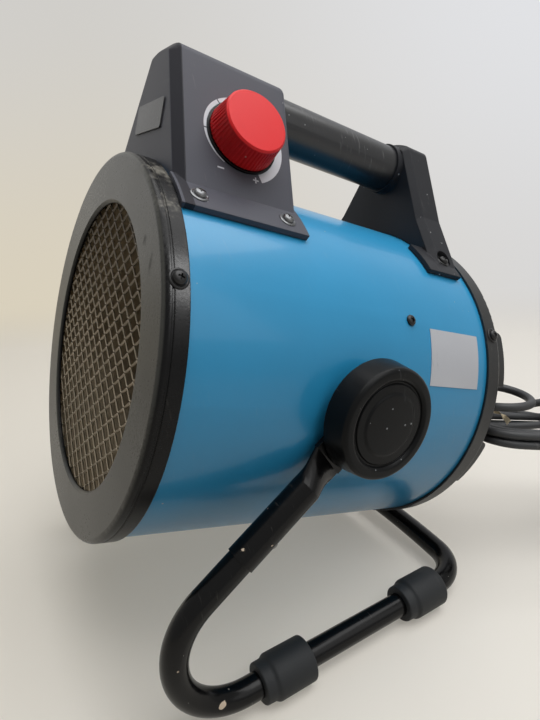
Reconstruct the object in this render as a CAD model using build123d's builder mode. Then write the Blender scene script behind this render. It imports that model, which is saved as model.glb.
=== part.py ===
from build123d import *
from math import asin, cos, degrees, pi, radians, sin, sqrt, tan
import os

os.makedirs("parts", exist_ok=True)

# A drum fan heater on a tilting tube stand. Lengths in mm, angles in degrees.
# +Z is up, the warm air leaves towards -Y, the thermostat dial is on the +X side.
# The origin is on the floor under the middle of the heater.

# ---- drum -------------------------------------------------------------------
drum_tilt = 16.0            # the outlet looks up by this much
drum_radius = 110.0
drum_wall = 0.8
shell_front = -119.0        # depths are measured along the drum, rearwards from the pivots
shell_rear = 112.5
fit_gap = 0.3               # clearance between curved pieces that sit close
bore_gap = 0.1              # clearance of a screw or stud in its hole

# ---- end rings --------------------------------------------------------------
ring_wall = 1.5
ring_skirt = 12.4
nose_round = 3.0
front_face = -122.5
ring_face_width = 28.0
outlet_lip = 2.6
bead_depth = 0.4
bead_width = 1.2
bead_set_back = 4.6
rear_face = 118.4
rear_skirt = 13.3
rear_round = 2.5

# ---- outlet grille and air duct ---------------------------------------------
grille_thickness = 1.2
grille_border = 8.0
grille_rim_gap = 3.8        # inside the ring's screws
duct_flange_set_back = 12.4
mesh_width = 14.6            # one diamond of the net, corner to corner
mesh_height = 10.5
mesh_shift = 1.8
mesh_strand = 1.6
duct_air_gap = 15.0
duct_wall = 0.6
duct_rear = 30.0

# ---- heating rings ----------------------------------------------------------
element_count = 3
element_spacing = 18.0
element_edge_gap = 21.0
element_wire = 7.0
element_depth = -62.0
element_gap_angle = 34.0
element_leg = 22.0
element_leg_radius = 3.1
holder_depth = -46.0
holder_thickness = 2.0
holder_arm_width = 16.0

# ---- fan and motor ----------------------------------------------------------
hub_radius = 17.0
blade_gap = 7.0
blade_count = 5
blade_chord = 34.0
blade_thickness = 2.0
blade_root_pitch = 42.0
blade_tip_pitch = 24.0
fan_depth = 4.0
hub_length = 18.0
shaft_radius = 3.0
motor_radius = 29.0
motor_length = 46.0
motor_front = 36.0
bracket_depth = 33.1
bracket_thickness = 1.6
bracket_arm_width = 18.0
bracket_tab = 12.0

# ---- rear cover -------------------------------------------------------------
cover_plate = 2.4
slot_first_radius = 26.0
slot_pitch = 8.0
slot_width = 5.2
slot_count = 9
spoke_count = 8
spoke_width = 6.0
lug_inset = 4.0
lug_wall = 3.4
lug_reach = 10.6
lug_angles = (11.0, 31.0)
lug_round = 4.0

# ---- control box, handle and rear pillar ------------------------------------
box_front = -108.4
box_rear = -34.6
box_wall = 3.0
crease_share = 0.5          # half width of the box at its crease, per drum radius
crease_drop = 9.0           # the crease below the drum's top
side_lean = 28.5
crest_half_width = 16.5
crest_rise = 2.6
crest_round = 7.0
hood_depth = 45.0           # the hood's sides before they are cut to the drum
corner_chamfer = 5.0
rear_edge_round = 4.0
flange_thickness = 3.3
flange_low_angle = 50.2
flange_high_angle = 64.0
pillar_front_top = 71.0
pillar_front_foot = 77.0
pillar_rear_top = 93.0
pillar_rear_foot = 97.5
pillar_flange_front = 66.0
pillar_chamfer = 4.0
flare_inset = 12.0          # inside the box's crease
foot_spread = 11.0          # outside it
handle_radius = 16.2
handle_wall = 1.6
spigot_length = 9.0
collar_rim = 1.4
collar_front = 68.0

# ---- dial -------------------------------------------------------------------
dial_depth = -68.8
dial_up_slope = 34.3        # from the crease up the sloping side
dial_radius = 18.3          # at its face
dial_foot_gap = 1.1         # the dial's foot inside its base ring
dial_height = 14.9
dial_rim = 1.0
dial_ribs = 56
rib_cut = 0.55
bezel_radius = 21.3
bezel_height = 1.4
spindle_radius = 3.0
switch_size = 26.0
switch_height = 18.0

# ---- small electrical pieces --------------------------------------------------
block_angle = 100.0
block_depth = -72.0
block_length = 34.0
block_width = 16.0
block_height = 12.0
cutout_angle = 62.0
cutout_depth = -60.0
cutout_radius = 8.0
cutout_height = 7.0
bulb_angle = 75.0
bulb_front = 55.0
bulb_length = 50.0
bulb_radius = 2.6

# ---- plates -----------------------------------------------------------------
badge_width = 42.0
badge_height = 16.0
badge_above_crease = 33.5
badge_thickness = 0.8
label_front = 49.5
label_rear = 95.8
label_low_angle = 9.3
label_high_angle = 27.4
label_thickness = 0.3

# ---- stand ------------------------------------------------------------------
arm_set_out = 4.4           # the arms' tubes outside their flat ends
arm_slope = 33.7            # the arms fall forwards by this much
arm_length = 101.0
arm_tube_radius = 8.1
arm_tube_wall = 0.8
flat_width = 24.0
flat_thickness = 3.0
flat_length = 34.0
flat_taper = 18.0
frame_tube_radius = 7.2
frame_tube_wall = 1.2
frame_insert = 24.0
bend_radius = 39.0
rail_clearance = 31.8       # the rails' axis below the drum
rail_straight_end = 64.2
rear_corner_radius = 28.0
cross_bar_bow_angle = 8.4
foot_radius = 13.2
foot_end_radius = 11.4
foot_length = 34.0
foot_depths = (-77.0, 29.0)
foot_step = 7.0
foot_chamfer = 1.0
foot_flat = 0.6             # worn flat where a sleeve rests
frame_screw_from_end = 17.0  # up from the arm's lower end

# ---- pivots -----------------------------------------------------------------
pad_radius = 17.0
pad_rise = 1.6
stud_radius = 4.0
stud_head_radius = 9.0
stud_head_thickness = 2.5
knob_base_gap = 0.25
knob_thickness = 16.2
knob_radius = 32.6
knob_face_radius = 30.4
knob_groove_radius = 23.0
knob_groove_width = 1.6
knob_groove_depth = 1.0
knob_disc_radius = 16.5
knob_disc_rise = 0.8
knob_recess_depth = 1.2
knob_edge = 1.4
stud_in_knob = 12.0

# ---- screws -----------------------------------------------------------------
ring_screw_angles = (28.5, 148.5, 268.5)
ring_screw_depth = -115.5
rear_screw_depth = 111.6
drum_screw_angles = (29.0, 151.0, 270.0)
box_screw_angle = 55.0
box_screw_depths = (-98.8, -46.0)
pillar_screw_angle = 57.0
pillar_screw_depth = 87.5
pan_radius = 3.4
pan_height = 2.2
washer_radius = 5.0
washer_height = 0.8
shank_radius = 1.9
shank_length = 7.0
screw_recess_gap = 1.4

# ---- mains cord and its hank ------------------------------------------------
cord_radius = 3.0
gland_inset = 40.0
gland_up = 13.0
gland_radius = 8.0
gland_flange = 10.5
gland_hole_radius = 6.5
gland_tip_radius = 4.6
gland_length = 25.0
gland_nut_radius = 9.5
gland_nut_thickness = 6.0
hank_from_tip = (25.0, 18.1, -23.0)
hank_way = (0.42, 0.90, 0.14)
hank_half_width = 28.1
hank_run = 96.0
turn_pitch = 6.7
plug_gap = 0.4
plug_length = 48.0
plug_width = 46.0
plug_thickness = 24.0
plug_round = 4.0
plug_neck_length = 12.0
plug_neck_radius = 5.5
plug_x = -6.0
plug_entry = 60.0
pin_reach = 18.0
pin_width = 6.4
pin_thick = 4.0
pin_apart = 22.0
earth_pin_width = 8.0
earth_pin_set = 22.0
tie_width = 4.0
tie_wall = 0.4
tie_turn = 23.0             # round the hank's first fold from its middle

# ---- worked-out places ------------------------------------------------------
rim_radius = drum_radius + fit_gap + ring_wall
outlet_radius = rim_radius - ring_face_width
duct_radius = drum_radius - duct_air_gap
blade_tip_radius = duct_radius - blade_gap
grille_rim_radius = rim_radius - shank_length - grille_rim_gap
element_radii = [duct_radius - element_edge_gap - element_spacing * (element_count - 1 - i)
                 for i in range(element_count)]
lug_radius = rim_radius - lug_inset
crease_half_width = drum_radius * crease_share
crease_height = drum_radius - crease_drop
flare_half_width = crease_half_width - flare_inset
foot_half_width = crease_half_width + foot_spread
pad_flat = drum_radius + pad_rise
stand_half_width = pad_flat + arm_set_out
rail_drop = drum_radius + rail_clearance
gland_x = drum_radius - gland_inset
flange_inner = drum_radius + fit_gap
flange_outer = flange_inner + flange_thickness
rail_height = foot_radius - foot_flat
pivot_height = rail_drop + rail_height
tilt_cos = cos(radians(drum_tilt))
tilt_sin = sin(radians(drum_tilt))
reach_front = ((-front_face - nose_round) * tilt_cos
               + (rim_radius - nose_round) * tilt_sin + nose_round)
reach_rear = ((rear_face - rear_round) * tilt_cos
              + (rim_radius - rear_round) * tilt_sin + rear_round)
pivot = Vector(0, (reach_front - reach_rear) / 2, pivot_height)
across_x = Vector(1, 0, 0)
rearward = Vector(0, tilt_cos, -tilt_sin)
upward = Vector(0, tilt_sin, tilt_cos)
drum_axis = Axis(pivot, rearward)


def spot(x, depth, up):
    """A point of the drum's own frame."""
    return pivot + across_x * x + rearward * depth + upward * up


def across(depth):
    """A plane square to the drum, looking forwards: sketch x is X, sketch y is up the drum."""
    return Plane(origin=spot(0, depth, 0), x_dir=across_x, z_dir=rearward * -1)


def side(x):
    """A plane along the drum's side: sketch x runs rearwards, sketch y up the drum."""
    return Plane(origin=spot(x, 0, 0), x_dir=rearward, z_dir=across_x)


def outward(angle):
    """The direction out of the drum at an angle from +X."""
    return across_x * cos(radians(angle)) + upward * sin(radians(angle))


def on_drum(angle, radius, depth):
    """A plane that touches the drum at an angle, looking outwards."""
    out = outward(angle)
    return Plane(origin=pivot + out * radius + rearward * depth, x_dir=rearward, z_dir=out)


def radial(angle):
    """A plane through the drum's axis: sketch x is the radius, sketch y the depth."""
    out = outward(angle)
    return Plane(origin=pivot, x_dir=out, z_dir=out.cross(rearward))


def slope_height(x):
    """Height of the sloping side above a half width."""
    return crease_height + (crease_half_width - x) / tan(radians(side_lean))


def curved_plate(inner, thickness, low_angle, high_angle, front, rear):
    """A plate that lies on the drum between two angles and two depths."""
    with BuildPart() as plate:
        with BuildSketch(radial(low_angle)):
            with Locations((inner + thickness / 2, (front + rear) / 2)):
                Rectangle(thickness, rear - front)
        revolve(axis=drum_axis, revolution_arc=low_angle - high_angle)
    return plate.part


def pan_screw(seat, washer=True):
    """A pan head screw with its washer, its seat at the plane's origin."""
    lift = washer_height if washer else 0.0
    with BuildPart() as screw:
        if washer:
            with BuildSketch(seat):
                Circle(washer_radius)
            extrude(amount=washer_height)
        with BuildSketch(seat.offset(lift)):
            Circle(pan_radius)
        extrude(amount=pan_height, taper=12)
        with BuildSketch(seat.offset(lift)):
            Circle(shank_radius)
        extrude(amount=-shank_length - lift)
    return screw.part


def finish(piece, label):
    piece.label = label
    export_step(piece, f"parts/{label}.step")


ring_screw_seats = [on_drum(a, rim_radius, ring_screw_depth) for a in ring_screw_angles]
rear_screw_seats = [on_drum(a, rim_radius, rear_screw_depth) for a in ring_screw_angles]
drum_screw_seats = [on_drum(a, drum_radius, bracket_depth) for a in drum_screw_angles]
box_screw_seats = [on_drum(a, flange_outer, d)
                   for a in (box_screw_angle, 180 - box_screw_angle) for d in box_screw_depths]
pillar_screw_seats = [on_drum(a, flange_outer, pillar_screw_depth)
                      for a in (pillar_screw_angle, 180 - pillar_screw_angle)]
all_shell_seats = (ring_screw_seats + rear_screw_seats + drum_screw_seats
                   + box_screw_seats + pillar_screw_seats)

# ---- drum shell: a rolled steel tube with its screw holes --------------------
with BuildPart() as drum_shell:
    with BuildSketch(across(shell_front)):
        Circle(drum_radius)
        Circle(drum_radius - drum_wall, mode=Mode.SUBTRACT)
    extrude(amount=shell_front - shell_rear)
    with BuildSketch(side(-drum_radius)):
        Circle(stud_radius + bore_gap)
    extrude(amount=2 * drum_radius, mode=Mode.SUBTRACT)
    for seat in all_shell_seats:
        with BuildSketch(seat):
            Circle(shank_radius + bore_gap)
        extrude(amount=-shank_length, mode=Mode.SUBTRACT)
    with BuildSketch(Plane(origin=spot(0, dial_depth, 0), x_dir=across_x, z_dir=upward)):
        RectangleRounded(switch_size, switch_size * 1.2, 5)
    extrude(amount=drum_radius + 5, mode=Mode.SUBTRACT)
finish(drum_shell.part, "drum_shell")

# ---- outlet ring: the spun front cover with its rolled edge and bead ---------
ring_rear = front_face + ring_skirt
with BuildPart() as outlet_ring:
    with BuildSketch(radial(0)):
        with BuildLine():
            start = (outlet_radius, front_face + outlet_lip)
            turn_in = (outlet_radius, front_face + ring_wall)
            flat_in = (outlet_radius + ring_wall, front_face)
            flat_out = (rim_radius - nose_round, front_face)
            nose_end = (rim_radius, front_face + nose_round)
            mid = (rim_radius - nose_round + nose_round * sin(pi / 4),
                   front_face + nose_round - nose_round * cos(pi / 4))
            Line(start, turn_in)
            Line(turn_in, flat_in)
            Line(flat_in, flat_out)
            ThreePointArc(flat_out, mid, nose_end)
            Polyline(nose_end, (rim_radius, ring_rear), (rim_radius - ring_wall, ring_rear),
                     (rim_radius - ring_wall, front_face + nose_round),
                     (rim_radius - nose_round, front_face + ring_wall),
                     (outlet_radius + 1.5 * ring_wall, front_face + ring_wall),
                     (outlet_radius + ring_wall, front_face + 1.5 * ring_wall),
                     (outlet_radius + ring_wall, front_face + outlet_lip), start)
        make_face()
        with Locations((rim_radius, front_face + bead_set_back)):
            Rectangle(2 * bead_depth, bead_width, mode=Mode.SUBTRACT)
    revolve(axis=drum_axis)
    for seat in ring_screw_seats:
        with BuildSketch(seat):
            Circle(shank_radius + bore_gap)
        extrude(amount=-shank_length, mode=Mode.SUBTRACT)
finish(outlet_ring.part, "outlet_ring")

# ---- outlet grille: a flat steel net in a plain rim --------------------------
grille_front = front_face + outlet_lip
net_radius = outlet_radius + ring_wall - grille_border / 4
with BuildPart() as outlet_grille:
    with BuildSketch(across(grille_front)):
        Circle(grille_rim_radius)
        strand_side = sqrt(mesh_width ** 2 + mesh_height ** 2) / 4
        hole_x = mesh_width / 2 - mesh_strand * strand_side * 2 / mesh_height
        hole_y = mesh_height / 2 - mesh_strand * strand_side * 2 / mesh_width
        columns = int(net_radius / mesh_width) + 2
        rows = int(2 * net_radius / mesh_height) + 2
        cells = [(mesh_width * (i + 0.5 * (j % 2)) + mesh_shift, mesh_height * j / 2)
                 for i in range(-columns, columns) for j in range(-rows, rows)]
        inside = [c for c in cells if sqrt(c[0] ** 2 + c[1] ** 2) < net_radius - hole_x]
        with Locations(*inside):
            Polygon((-hole_x, 0), (0, -hole_y), (hole_x, 0), (0, hole_y), mode=Mode.SUBTRACT)
    extrude(amount=-grille_thickness)
finish(outlet_grille.part, "outlet_grille")

# ---- inner air duct: a thin tube with a front flange that clamps the grille ---
duct_front = grille_front + grille_thickness
with BuildPart() as inner_duct:
    with BuildSketch(radial(0)):
        with BuildLine():
            flange_front = duct_front + duct_flange_set_back
            flange_edge = drum_radius - drum_wall - fit_gap
            Polyline((duct_radius - duct_wall, duct_front), (duct_radius, duct_front),
                     (duct_radius, flange_front), (flange_edge, flange_front),
                     (flange_edge, flange_front + duct_wall),
                     (duct_radius, flange_front + duct_wall), (duct_radius, duct_rear),
                     (duct_radius - duct_wall, duct_rear), close=True)
        make_face()
    revolve(axis=drum_axis)
finish(inner_duct.part, "inner_duct")

# ---- heating rings: bent tubular elements with two legs each ------------------
def leg_angles(radius):
    """Where a ring's two legs stand, just inside its ends."""
    inset = degrees(element_wire * 0.4 / radius)
    half = element_gap_angle / 2 + inset
    return (90 + half, 90 - half)


for number, ring_radius in enumerate(element_radii, start=1):
    with BuildPart() as heating_ring:
        with BuildSketch(radial(90 - element_gap_angle / 2)):
            with Locations((ring_radius, element_depth)):
                Circle(element_wire / 2)
        revolve(axis=drum_axis, revolution_arc=360 - element_gap_angle)
        for end in leg_angles(ring_radius):
            leg_start = pivot + outward(end) * ring_radius + rearward * element_depth
            with BuildSketch(Plane(origin=leg_start, x_dir=across_x, z_dir=rearward)):
                Circle(element_leg_radius)
            extrude(amount=element_leg)
    finish(heating_ring.part, f"heating_ring_{number}")

# ---- element holder: a three-armed plate across the duct ----------------------
with BuildPart() as element_holder:
    with BuildSketch(across(holder_depth)):
        Circle(element_radii[0] + element_wire)
        Circle(element_radii[0] - element_wire * 1.6, mode=Mode.SUBTRACT)
        for arm_angle in (90, 210, 330):
            with BuildSketch(mode=Mode.ADD):
                with Locations(Rot(0, 0, arm_angle) * Pos((duct_radius - duct_wall
                               + element_radii[0]) / 2 - fit_gap, 0)):
                    width = holder_arm_width if arm_angle != 90 else 3.5 * holder_arm_width
                    Rectangle(duct_radius - duct_wall - element_radii[0] - 2 * fit_gap, width)
        Circle(duct_radius - duct_wall - fit_gap, mode=Mode.INTERSECT)
        for ring_radius in element_radii:
            for end in leg_angles(ring_radius):
                with Locations((ring_radius * cos(radians(end)), ring_radius * sin(radians(end)))):
                    Circle(element_leg_radius + bore_gap, mode=Mode.SUBTRACT)
    extrude(amount=-holder_thickness)
finish(element_holder.part, "element_holder")

# ---- motor bracket: three arms with tabs screwed to the drum ------------------
with BuildPart() as motor_bracket:
    with BuildSketch(across(bracket_depth - bracket_thickness / 2)):
        Circle(motor_radius)
        for arm_angle in drum_screw_angles:
            with Locations(Rot(0, 0, arm_angle) * Pos((drum_radius - drum_wall) / 2, 0)):
                Rectangle(drum_radius - drum_wall, bracket_arm_width)
        Circle(drum_radius - drum_wall - fit_gap, mode=Mode.INTERSECT)
        Circle(shaft_radius + 3, mode=Mode.SUBTRACT)
    extrude(amount=-bracket_thickness)
    for arm_angle in drum_screw_angles:
        half_angle = bracket_arm_width / 2 / drum_radius * 180 / pi
        add(curved_plate(drum_radius - drum_wall - fit_gap - bracket_thickness, bracket_thickness,
                         arm_angle - half_angle, arm_angle + half_angle,
                         bracket_depth - bracket_tab / 2, bracket_depth + bracket_tab / 2))
    for seat in drum_screw_seats:
        with BuildSketch(seat):
            Circle(shank_radius + bore_gap)
        extrude(amount=-shank_length, mode=Mode.SUBTRACT)
finish(motor_bracket.part, "motor_bracket")

# ---- fan motor: a ribbed can with its front boss ------------------------------
motor_seat = bracket_depth + bracket_thickness / 2
with BuildPart() as fan_motor:
    with BuildSketch(across(motor_seat)):
        Circle(motor_radius - 3)
    extrude(amount=motor_seat - motor_front - 2)
    with BuildSketch(across(motor_front + 2)):
        Circle(motor_radius)
    extrude(amount=-motor_length)
    with BuildSketch(across(motor_front + 2 + motor_length)):
        Circle(motor_radius * 0.4)
    extrude(amount=-6)
    with BuildSketch(across(motor_front + 6)):
        with PolarLocations(motor_radius, 16):
            Rectangle(2.0, 2.4)
    extrude(amount=-motor_length + 8, mode=Mode.SUBTRACT)
    with BuildSketch(across(0)):
        Circle(shaft_radius + bore_gap / 2)
    extrude(amount=-(motor_seat + motor_length), mode=Mode.SUBTRACT)
finish(fan_motor.part, "fan_motor")

# ---- motor shaft ---------------------------------------------------------------
shaft_front = fan_depth - 3
with BuildPart() as motor_shaft:
    with BuildSketch(across(shaft_front)):
        Circle(shaft_radius)
    extrude(amount=-(motor_seat + motor_length - 4 - shaft_front))
finish(motor_shaft.part, "motor_shaft")

# ---- impeller: a hub with twisted blades ---------------------------------------
with BuildPart() as impeller:
    with BuildSketch(across(fan_depth)):
        Circle(hub_radius)
    extrude(amount=-hub_length)
    blade_centre = spot(0, fan_depth + hub_length / 2, 0)
    for number in range(blade_count):
        out = outward(90 + number * 360 / blade_count)
        around = out.cross(rearward)
        with BuildSketch(Plane(origin=blade_centre + out * (hub_radius - 3), x_dir=around, z_dir=out)):
            Rectangle(blade_chord * 0.62, blade_thickness, rotation=blade_root_pitch)
        with BuildSketch(Plane(origin=blade_centre + out * blade_tip_radius, x_dir=around, z_dir=out)):
            Rectangle(blade_chord, blade_thickness, rotation=blade_tip_pitch)
        loft()
    with BuildSketch(across(shaft_front)):
        Circle(shaft_radius + bore_gap / 2)
    extrude(amount=-(hub_length + 20), mode=Mode.SUBTRACT)
finish(impeller.part, "impeller")

# ---- rear cover: skirt, slotted plate and four cord lugs -----------------------
with BuildPart() as rear_cover:
    with BuildSketch(radial(0)):
        with BuildLine():
            skirt_front = rear_face - rear_skirt
            Polyline((0, rear_face), (0, rear_face - cover_plate),
                     (rim_radius - ring_wall - rear_round, rear_face - cover_plate),
                     (rim_radius - ring_wall, rear_face - cover_plate - rear_round),
                     (rim_radius - ring_wall, skirt_front), (rim_radius, skirt_front),
                     (rim_radius, rear_face - rear_round))
            ThreePointArc((rim_radius, rear_face - rear_round),
                          (rim_radius - rear_round + rear_round * sin(pi / 4),
                           rear_face - rear_round + rear_round * cos(pi / 4)),
                          (rim_radius - rear_round, rear_face))
            Line((rim_radius - rear_round, rear_face), (0, rear_face))
        make_face()
    revolve(axis=drum_axis)
    with BuildSketch(across(rear_face)):
        for number in reversed(range(slot_count)):
            slot_radius = slot_first_radius + number * slot_pitch
            Circle(slot_radius + slot_width / 2)
            Circle(slot_radius - slot_width / 2, mode=Mode.SUBTRACT)
        with PolarLocations(0, spoke_count, start_angle=360 / spoke_count / 2):
            Rectangle(4 * rim_radius, spoke_width, mode=Mode.SUBTRACT)
        with Locations((gland_x, gland_up)):
            Circle(gland_flange, mode=Mode.SUBTRACT)
    extrude(amount=cover_plate, mode=Mode.SUBTRACT)
    for sign in (1, -1):
        for low in (lug_angles[0], -lug_angles[1]):
            centre_angle = low + (lug_angles[1] - lug_angles[0]) / 2
            lug_span = 2 * lug_radius * sin(radians((lug_angles[1] - lug_angles[0]) / 2))
            start_angle = centre_angle if sign > 0 else 180 - centre_angle
            with BuildPart(mode=Mode.PRIVATE) as lug:
                with BuildSketch(on_drum(start_angle, 0, rear_face + lug_reach / 2)) as lug_face:
                    Rectangle(lug_reach, lug_span)
                    rear_corners = lug_face.vertices().sort_by(Axis(pivot, rearward))[-2:]
                    fillet(rear_corners, lug_round)
                extrude(amount=lug_radius + 5)
            add(lug.part & curved_plate(lug_radius - lug_wall, lug_wall, start_angle - 20,
                                        start_angle + 20, rear_face - 0.5, rear_face + lug_reach))
    for seat in rear_screw_seats:
        with BuildSketch(seat):
            Circle(shank_radius + bore_gap)
        extrude(amount=-shank_length, mode=Mode.SUBTRACT)
    with BuildSketch(across(rear_face)):
        with Locations((gland_x, gland_up)):
            Circle(gland_hole_radius)
    extrude(amount=cover_plate, mode=Mode.SUBTRACT)
finish(rear_cover.part, "rear_cover")

# ---- control box: a moulded hood that straddles the drum -----------------------
crest_height = slope_height(crest_half_width)
handle_height = crest_height - handle_radius


def hood_outline(inset):
    """Half widths and heights of the hood's outline, drawn in by a wall."""
    lean = radians(side_lean)
    low = crease_height - hood_depth
    drawn_in = inset / cos(lean)
    return [(crease_half_width + (crease_height - low) * tan(lean) - drawn_in, low),
            (crest_half_width + inset * tan(lean) - drawn_in, crest_height - inset)]


def hood(front, rear, inset, rise):
    """A prism of the hood's outline between two depths."""
    (low_x, low_up), (top_x, top_up) = hood_outline(inset)
    with BuildPart() as block:
        with BuildSketch(across(front)) as outline:
            with BuildLine():
                Line((low_x, low_up), (top_x, top_up))
                ThreePointArc((top_x, top_up), (0, top_up + rise), (-top_x, top_up))
                Line((-top_x, top_up), (-low_x, low_up))
                Line((-low_x, low_up), (low_x, low_up))
            make_face()
            fillet(outline.vertices().group_by(Axis(pivot, upward))[-1], crest_round)
        extrude(amount=front - rear)
    return block.part


def side_flanges(front, rear):
    """The two screwed flanges that follow the drum, one on each side."""
    plates = [curved_plate(flange_inner, flange_thickness, low, high, front, rear)
              for low, high in ((flange_low_angle, flange_high_angle),
                                (180 - flange_high_angle, 180 - flange_low_angle))]
    return plates[0] + plates[1]


def drum_core(front, rear):
    """The space of the drum with its clearance, to cut what straddles it."""
    with BuildPart() as core:
        with BuildSketch(across(front)):
            Circle(flange_inner)
        extrude(amount=front - rear)
    return core.part


slope_normal = across_x * cos(radians(side_lean)) + upward * sin(radians(side_lean))
slope_up = upward * cos(radians(side_lean)) - across_x * sin(radians(side_lean))
dial_centre = spot(crease_half_width, dial_depth, crease_height) + slope_up * dial_up_slope
dial_seat = Plane(origin=dial_centre, x_dir=rearward, z_dir=slope_normal)

with BuildPart() as control_box:
    add(hood(box_front, box_rear, 0, crest_rise))
    front_edges = (control_box.faces().sort_by(Axis(pivot, rearward))[0]
                   .edges().filter_by(GeomType.LINE).sort_by(SortBy.LENGTH)[-3:])
    front_sides = [e for e in front_edges if abs(e.tangent_at(0.5).X) < 0.9]
    chamfer(front_sides, corner_chamfer)
    rear_edges = (control_box.faces().sort_by(Axis(pivot, rearward))[-1].edges())
    rear_rounds = [e for e in rear_edges if abs(e.center().Z - control_box.faces()
                   .sort_by(Axis(pivot, upward))[0].center().Z) > 20]
    fillet(rear_rounds, rear_edge_round)
    add(side_flanges(ring_rear + fit_gap, box_rear))
    add(hood(box_front + box_wall, box_rear - box_wall, box_wall, crest_rise), mode=Mode.SUBTRACT)
    add(drum_core(box_front - 10, box_rear + 10), mode=Mode.SUBTRACT)
    with BuildSketch(across(box_rear)):
        with Locations((0, handle_height)):
            Circle(handle_radius - handle_wall - bore_gap)
    extrude(amount=-spigot_length)
    with BuildSketch(dial_seat):
        Circle(spindle_radius + bore_gap)
    extrude(amount=-box_wall * 2, mode=Mode.SUBTRACT)
    for seat in box_screw_seats:
        with BuildSketch(seat):
            Circle(shank_radius + bore_gap)
        extrude(amount=-flange_thickness - 1, mode=Mode.SUBTRACT)
finish(control_box.part, "control_box")

# ---- rear pillar: the moulded foot of the handle --------------------------------
pillar_low = crease_height - hood_depth
with BuildPart() as rear_pillar:
    with BuildSketch(across(pillar_flange_front)) as pillar_outline:
        flare_up = slope_height(flare_half_width)
        foot_up = sqrt(flange_outer ** 2 - foot_half_width ** 2)
        with BuildLine():
            Polyline((crest_half_width, crest_height), (flare_half_width, flare_up),
                     (foot_half_width, foot_up), (foot_half_width, pillar_low),
                     (-foot_half_width, pillar_low), (-foot_half_width, foot_up),
                     (-flare_half_width, flare_up), (-crest_half_width, crest_height))
            ThreePointArc((-crest_half_width, crest_height), (0, crest_height + crest_rise),
                          (crest_half_width, crest_height))
        make_face()
        fillet(pillar_outline.vertices().group_by(Axis(pivot, upward))[-1], crest_round)
    extrude(amount=pillar_flange_front - pillar_rear_foot - 5)
    with BuildSketch(side(-drum_radius)):
        with BuildLine():
            Polyline((pillar_front_foot, pillar_low), (pillar_front_foot, crease_height),
                     (pillar_front_top, crest_height + 6), (pillar_rear_top, crest_height + 6),
                     (pillar_rear_foot, crease_height), (pillar_rear_foot, pillar_low), close=True)
        make_face()
    extrude(amount=2 * drum_radius, mode=Mode.INTERSECT)
    front_edges = [e for e in rear_pillar.faces().sort_by(Axis(pivot, rearward))[0].edges()
                   .filter_by(GeomType.LINE) if 0.1 < abs(e.tangent_at(0.5).X) < 0.9]
    chamfer(front_edges, pillar_chamfer)
    add(side_flanges(pillar_flange_front, pillar_rear_foot))
    with BuildSketch(across(collar_front)):
        with Locations((0, handle_height)):
            Circle(handle_radius + collar_rim)
    extrude(amount=collar_front - pillar_rear_top + box_wall)
    with BuildSketch(across(collar_front)):
        with Locations((0, handle_height)):
            Circle(handle_radius - handle_wall - bore_gap)
    extrude(amount=spigot_length)
    add(hood(pillar_front_foot + box_wall, pillar_rear_top - box_wall, box_wall, crest_rise),
        mode=Mode.SUBTRACT)
    add(drum_core(pillar_flange_front - 10, pillar_rear_foot + 10), mode=Mode.SUBTRACT)
    for seat in pillar_screw_seats:
        with BuildSketch(seat):
            Circle(washer_radius + screw_recess_gap)
        extrude(amount=foot_half_width / 2, mode=Mode.SUBTRACT)
        with BuildSketch(seat):
            Circle(shank_radius + bore_gap)
        extrude(amount=-flange_thickness - 1, mode=Mode.SUBTRACT)
finish(rear_pillar.part, "rear_pillar")

# ---- handle tube: slips over a spigot at each end --------------------------------
with BuildPart() as handle_tube:
    with BuildSketch(across(box_rear)):
        with Locations((0, handle_height)):
            Circle(handle_radius)
            Circle(handle_radius - handle_wall, mode=Mode.SUBTRACT)
    extrude(amount=box_rear - collar_front)
finish(handle_tube.part, "handle_tube")

# ---- dial, its base ring and the switch that it turns ------------------------------
with BuildPart() as dial_bezel:
    with BuildSketch(dial_seat):
        Circle(bezel_radius)
        Circle(spindle_radius + 1.5, mode=Mode.SUBTRACT)
    extrude(amount=bezel_height)
    chamfer(dial_bezel.edges().sort_by(Axis(dial_centre, slope_normal))[-1:], 0.4)
finish(dial_bezel.part, "dial_bezel")

dial_base = dial_seat.offset(bezel_height + fit_gap)
dial_foot_radius = bezel_radius - dial_foot_gap
dial_taper = degrees(asin((dial_foot_radius - dial_radius) / (dial_height - dial_rim)))
flute_length = dial_height - dial_rim - 0.6
with BuildPart() as control_dial:
    with BuildSketch(Plane(origin=dial_base.origin, x_dir=rearward,
                           z_dir=rearward.cross(slope_normal))):
        Polygon((0, 0), (dial_foot_radius, 0), (dial_radius, dial_height - dial_rim),
                (dial_radius - dial_rim, dial_height), (0, dial_height), align=None)
    revolve(axis=Axis(dial_base.origin, slope_normal))
    flute_centre = dial_foot_radius - flute_length / 2 * tan(radians(dial_taper))
    with Locations(dial_base.offset(flute_length / 2)):
        with PolarLocations(flute_centre + rib_cut * 0.4, dial_ribs):
            Box(2 * rib_cut, pi * dial_radius / dial_ribs, flute_length,
                rotation=(0, -dial_taper, 0), mode=Mode.SUBTRACT)
    with BuildSketch(dial_base):
        Circle(spindle_radius)
    extrude(amount=-(bezel_height + fit_gap + box_wall + switch_height / 2))
finish(control_dial.part, "control_dial")

with BuildPart() as thermostat_switch:
    with BuildSketch(dial_seat.offset(-box_wall)):
        RectangleRounded(switch_size, switch_size, 3)
    extrude(amount=-switch_height)
    with BuildSketch(dial_seat.offset(-box_wall)):
        Circle(spindle_radius + bore_gap / 2)
    extrude(amount=-switch_height / 2 - 1, mode=Mode.SUBTRACT)
finish(thermostat_switch.part, "thermostat_switch")

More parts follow.
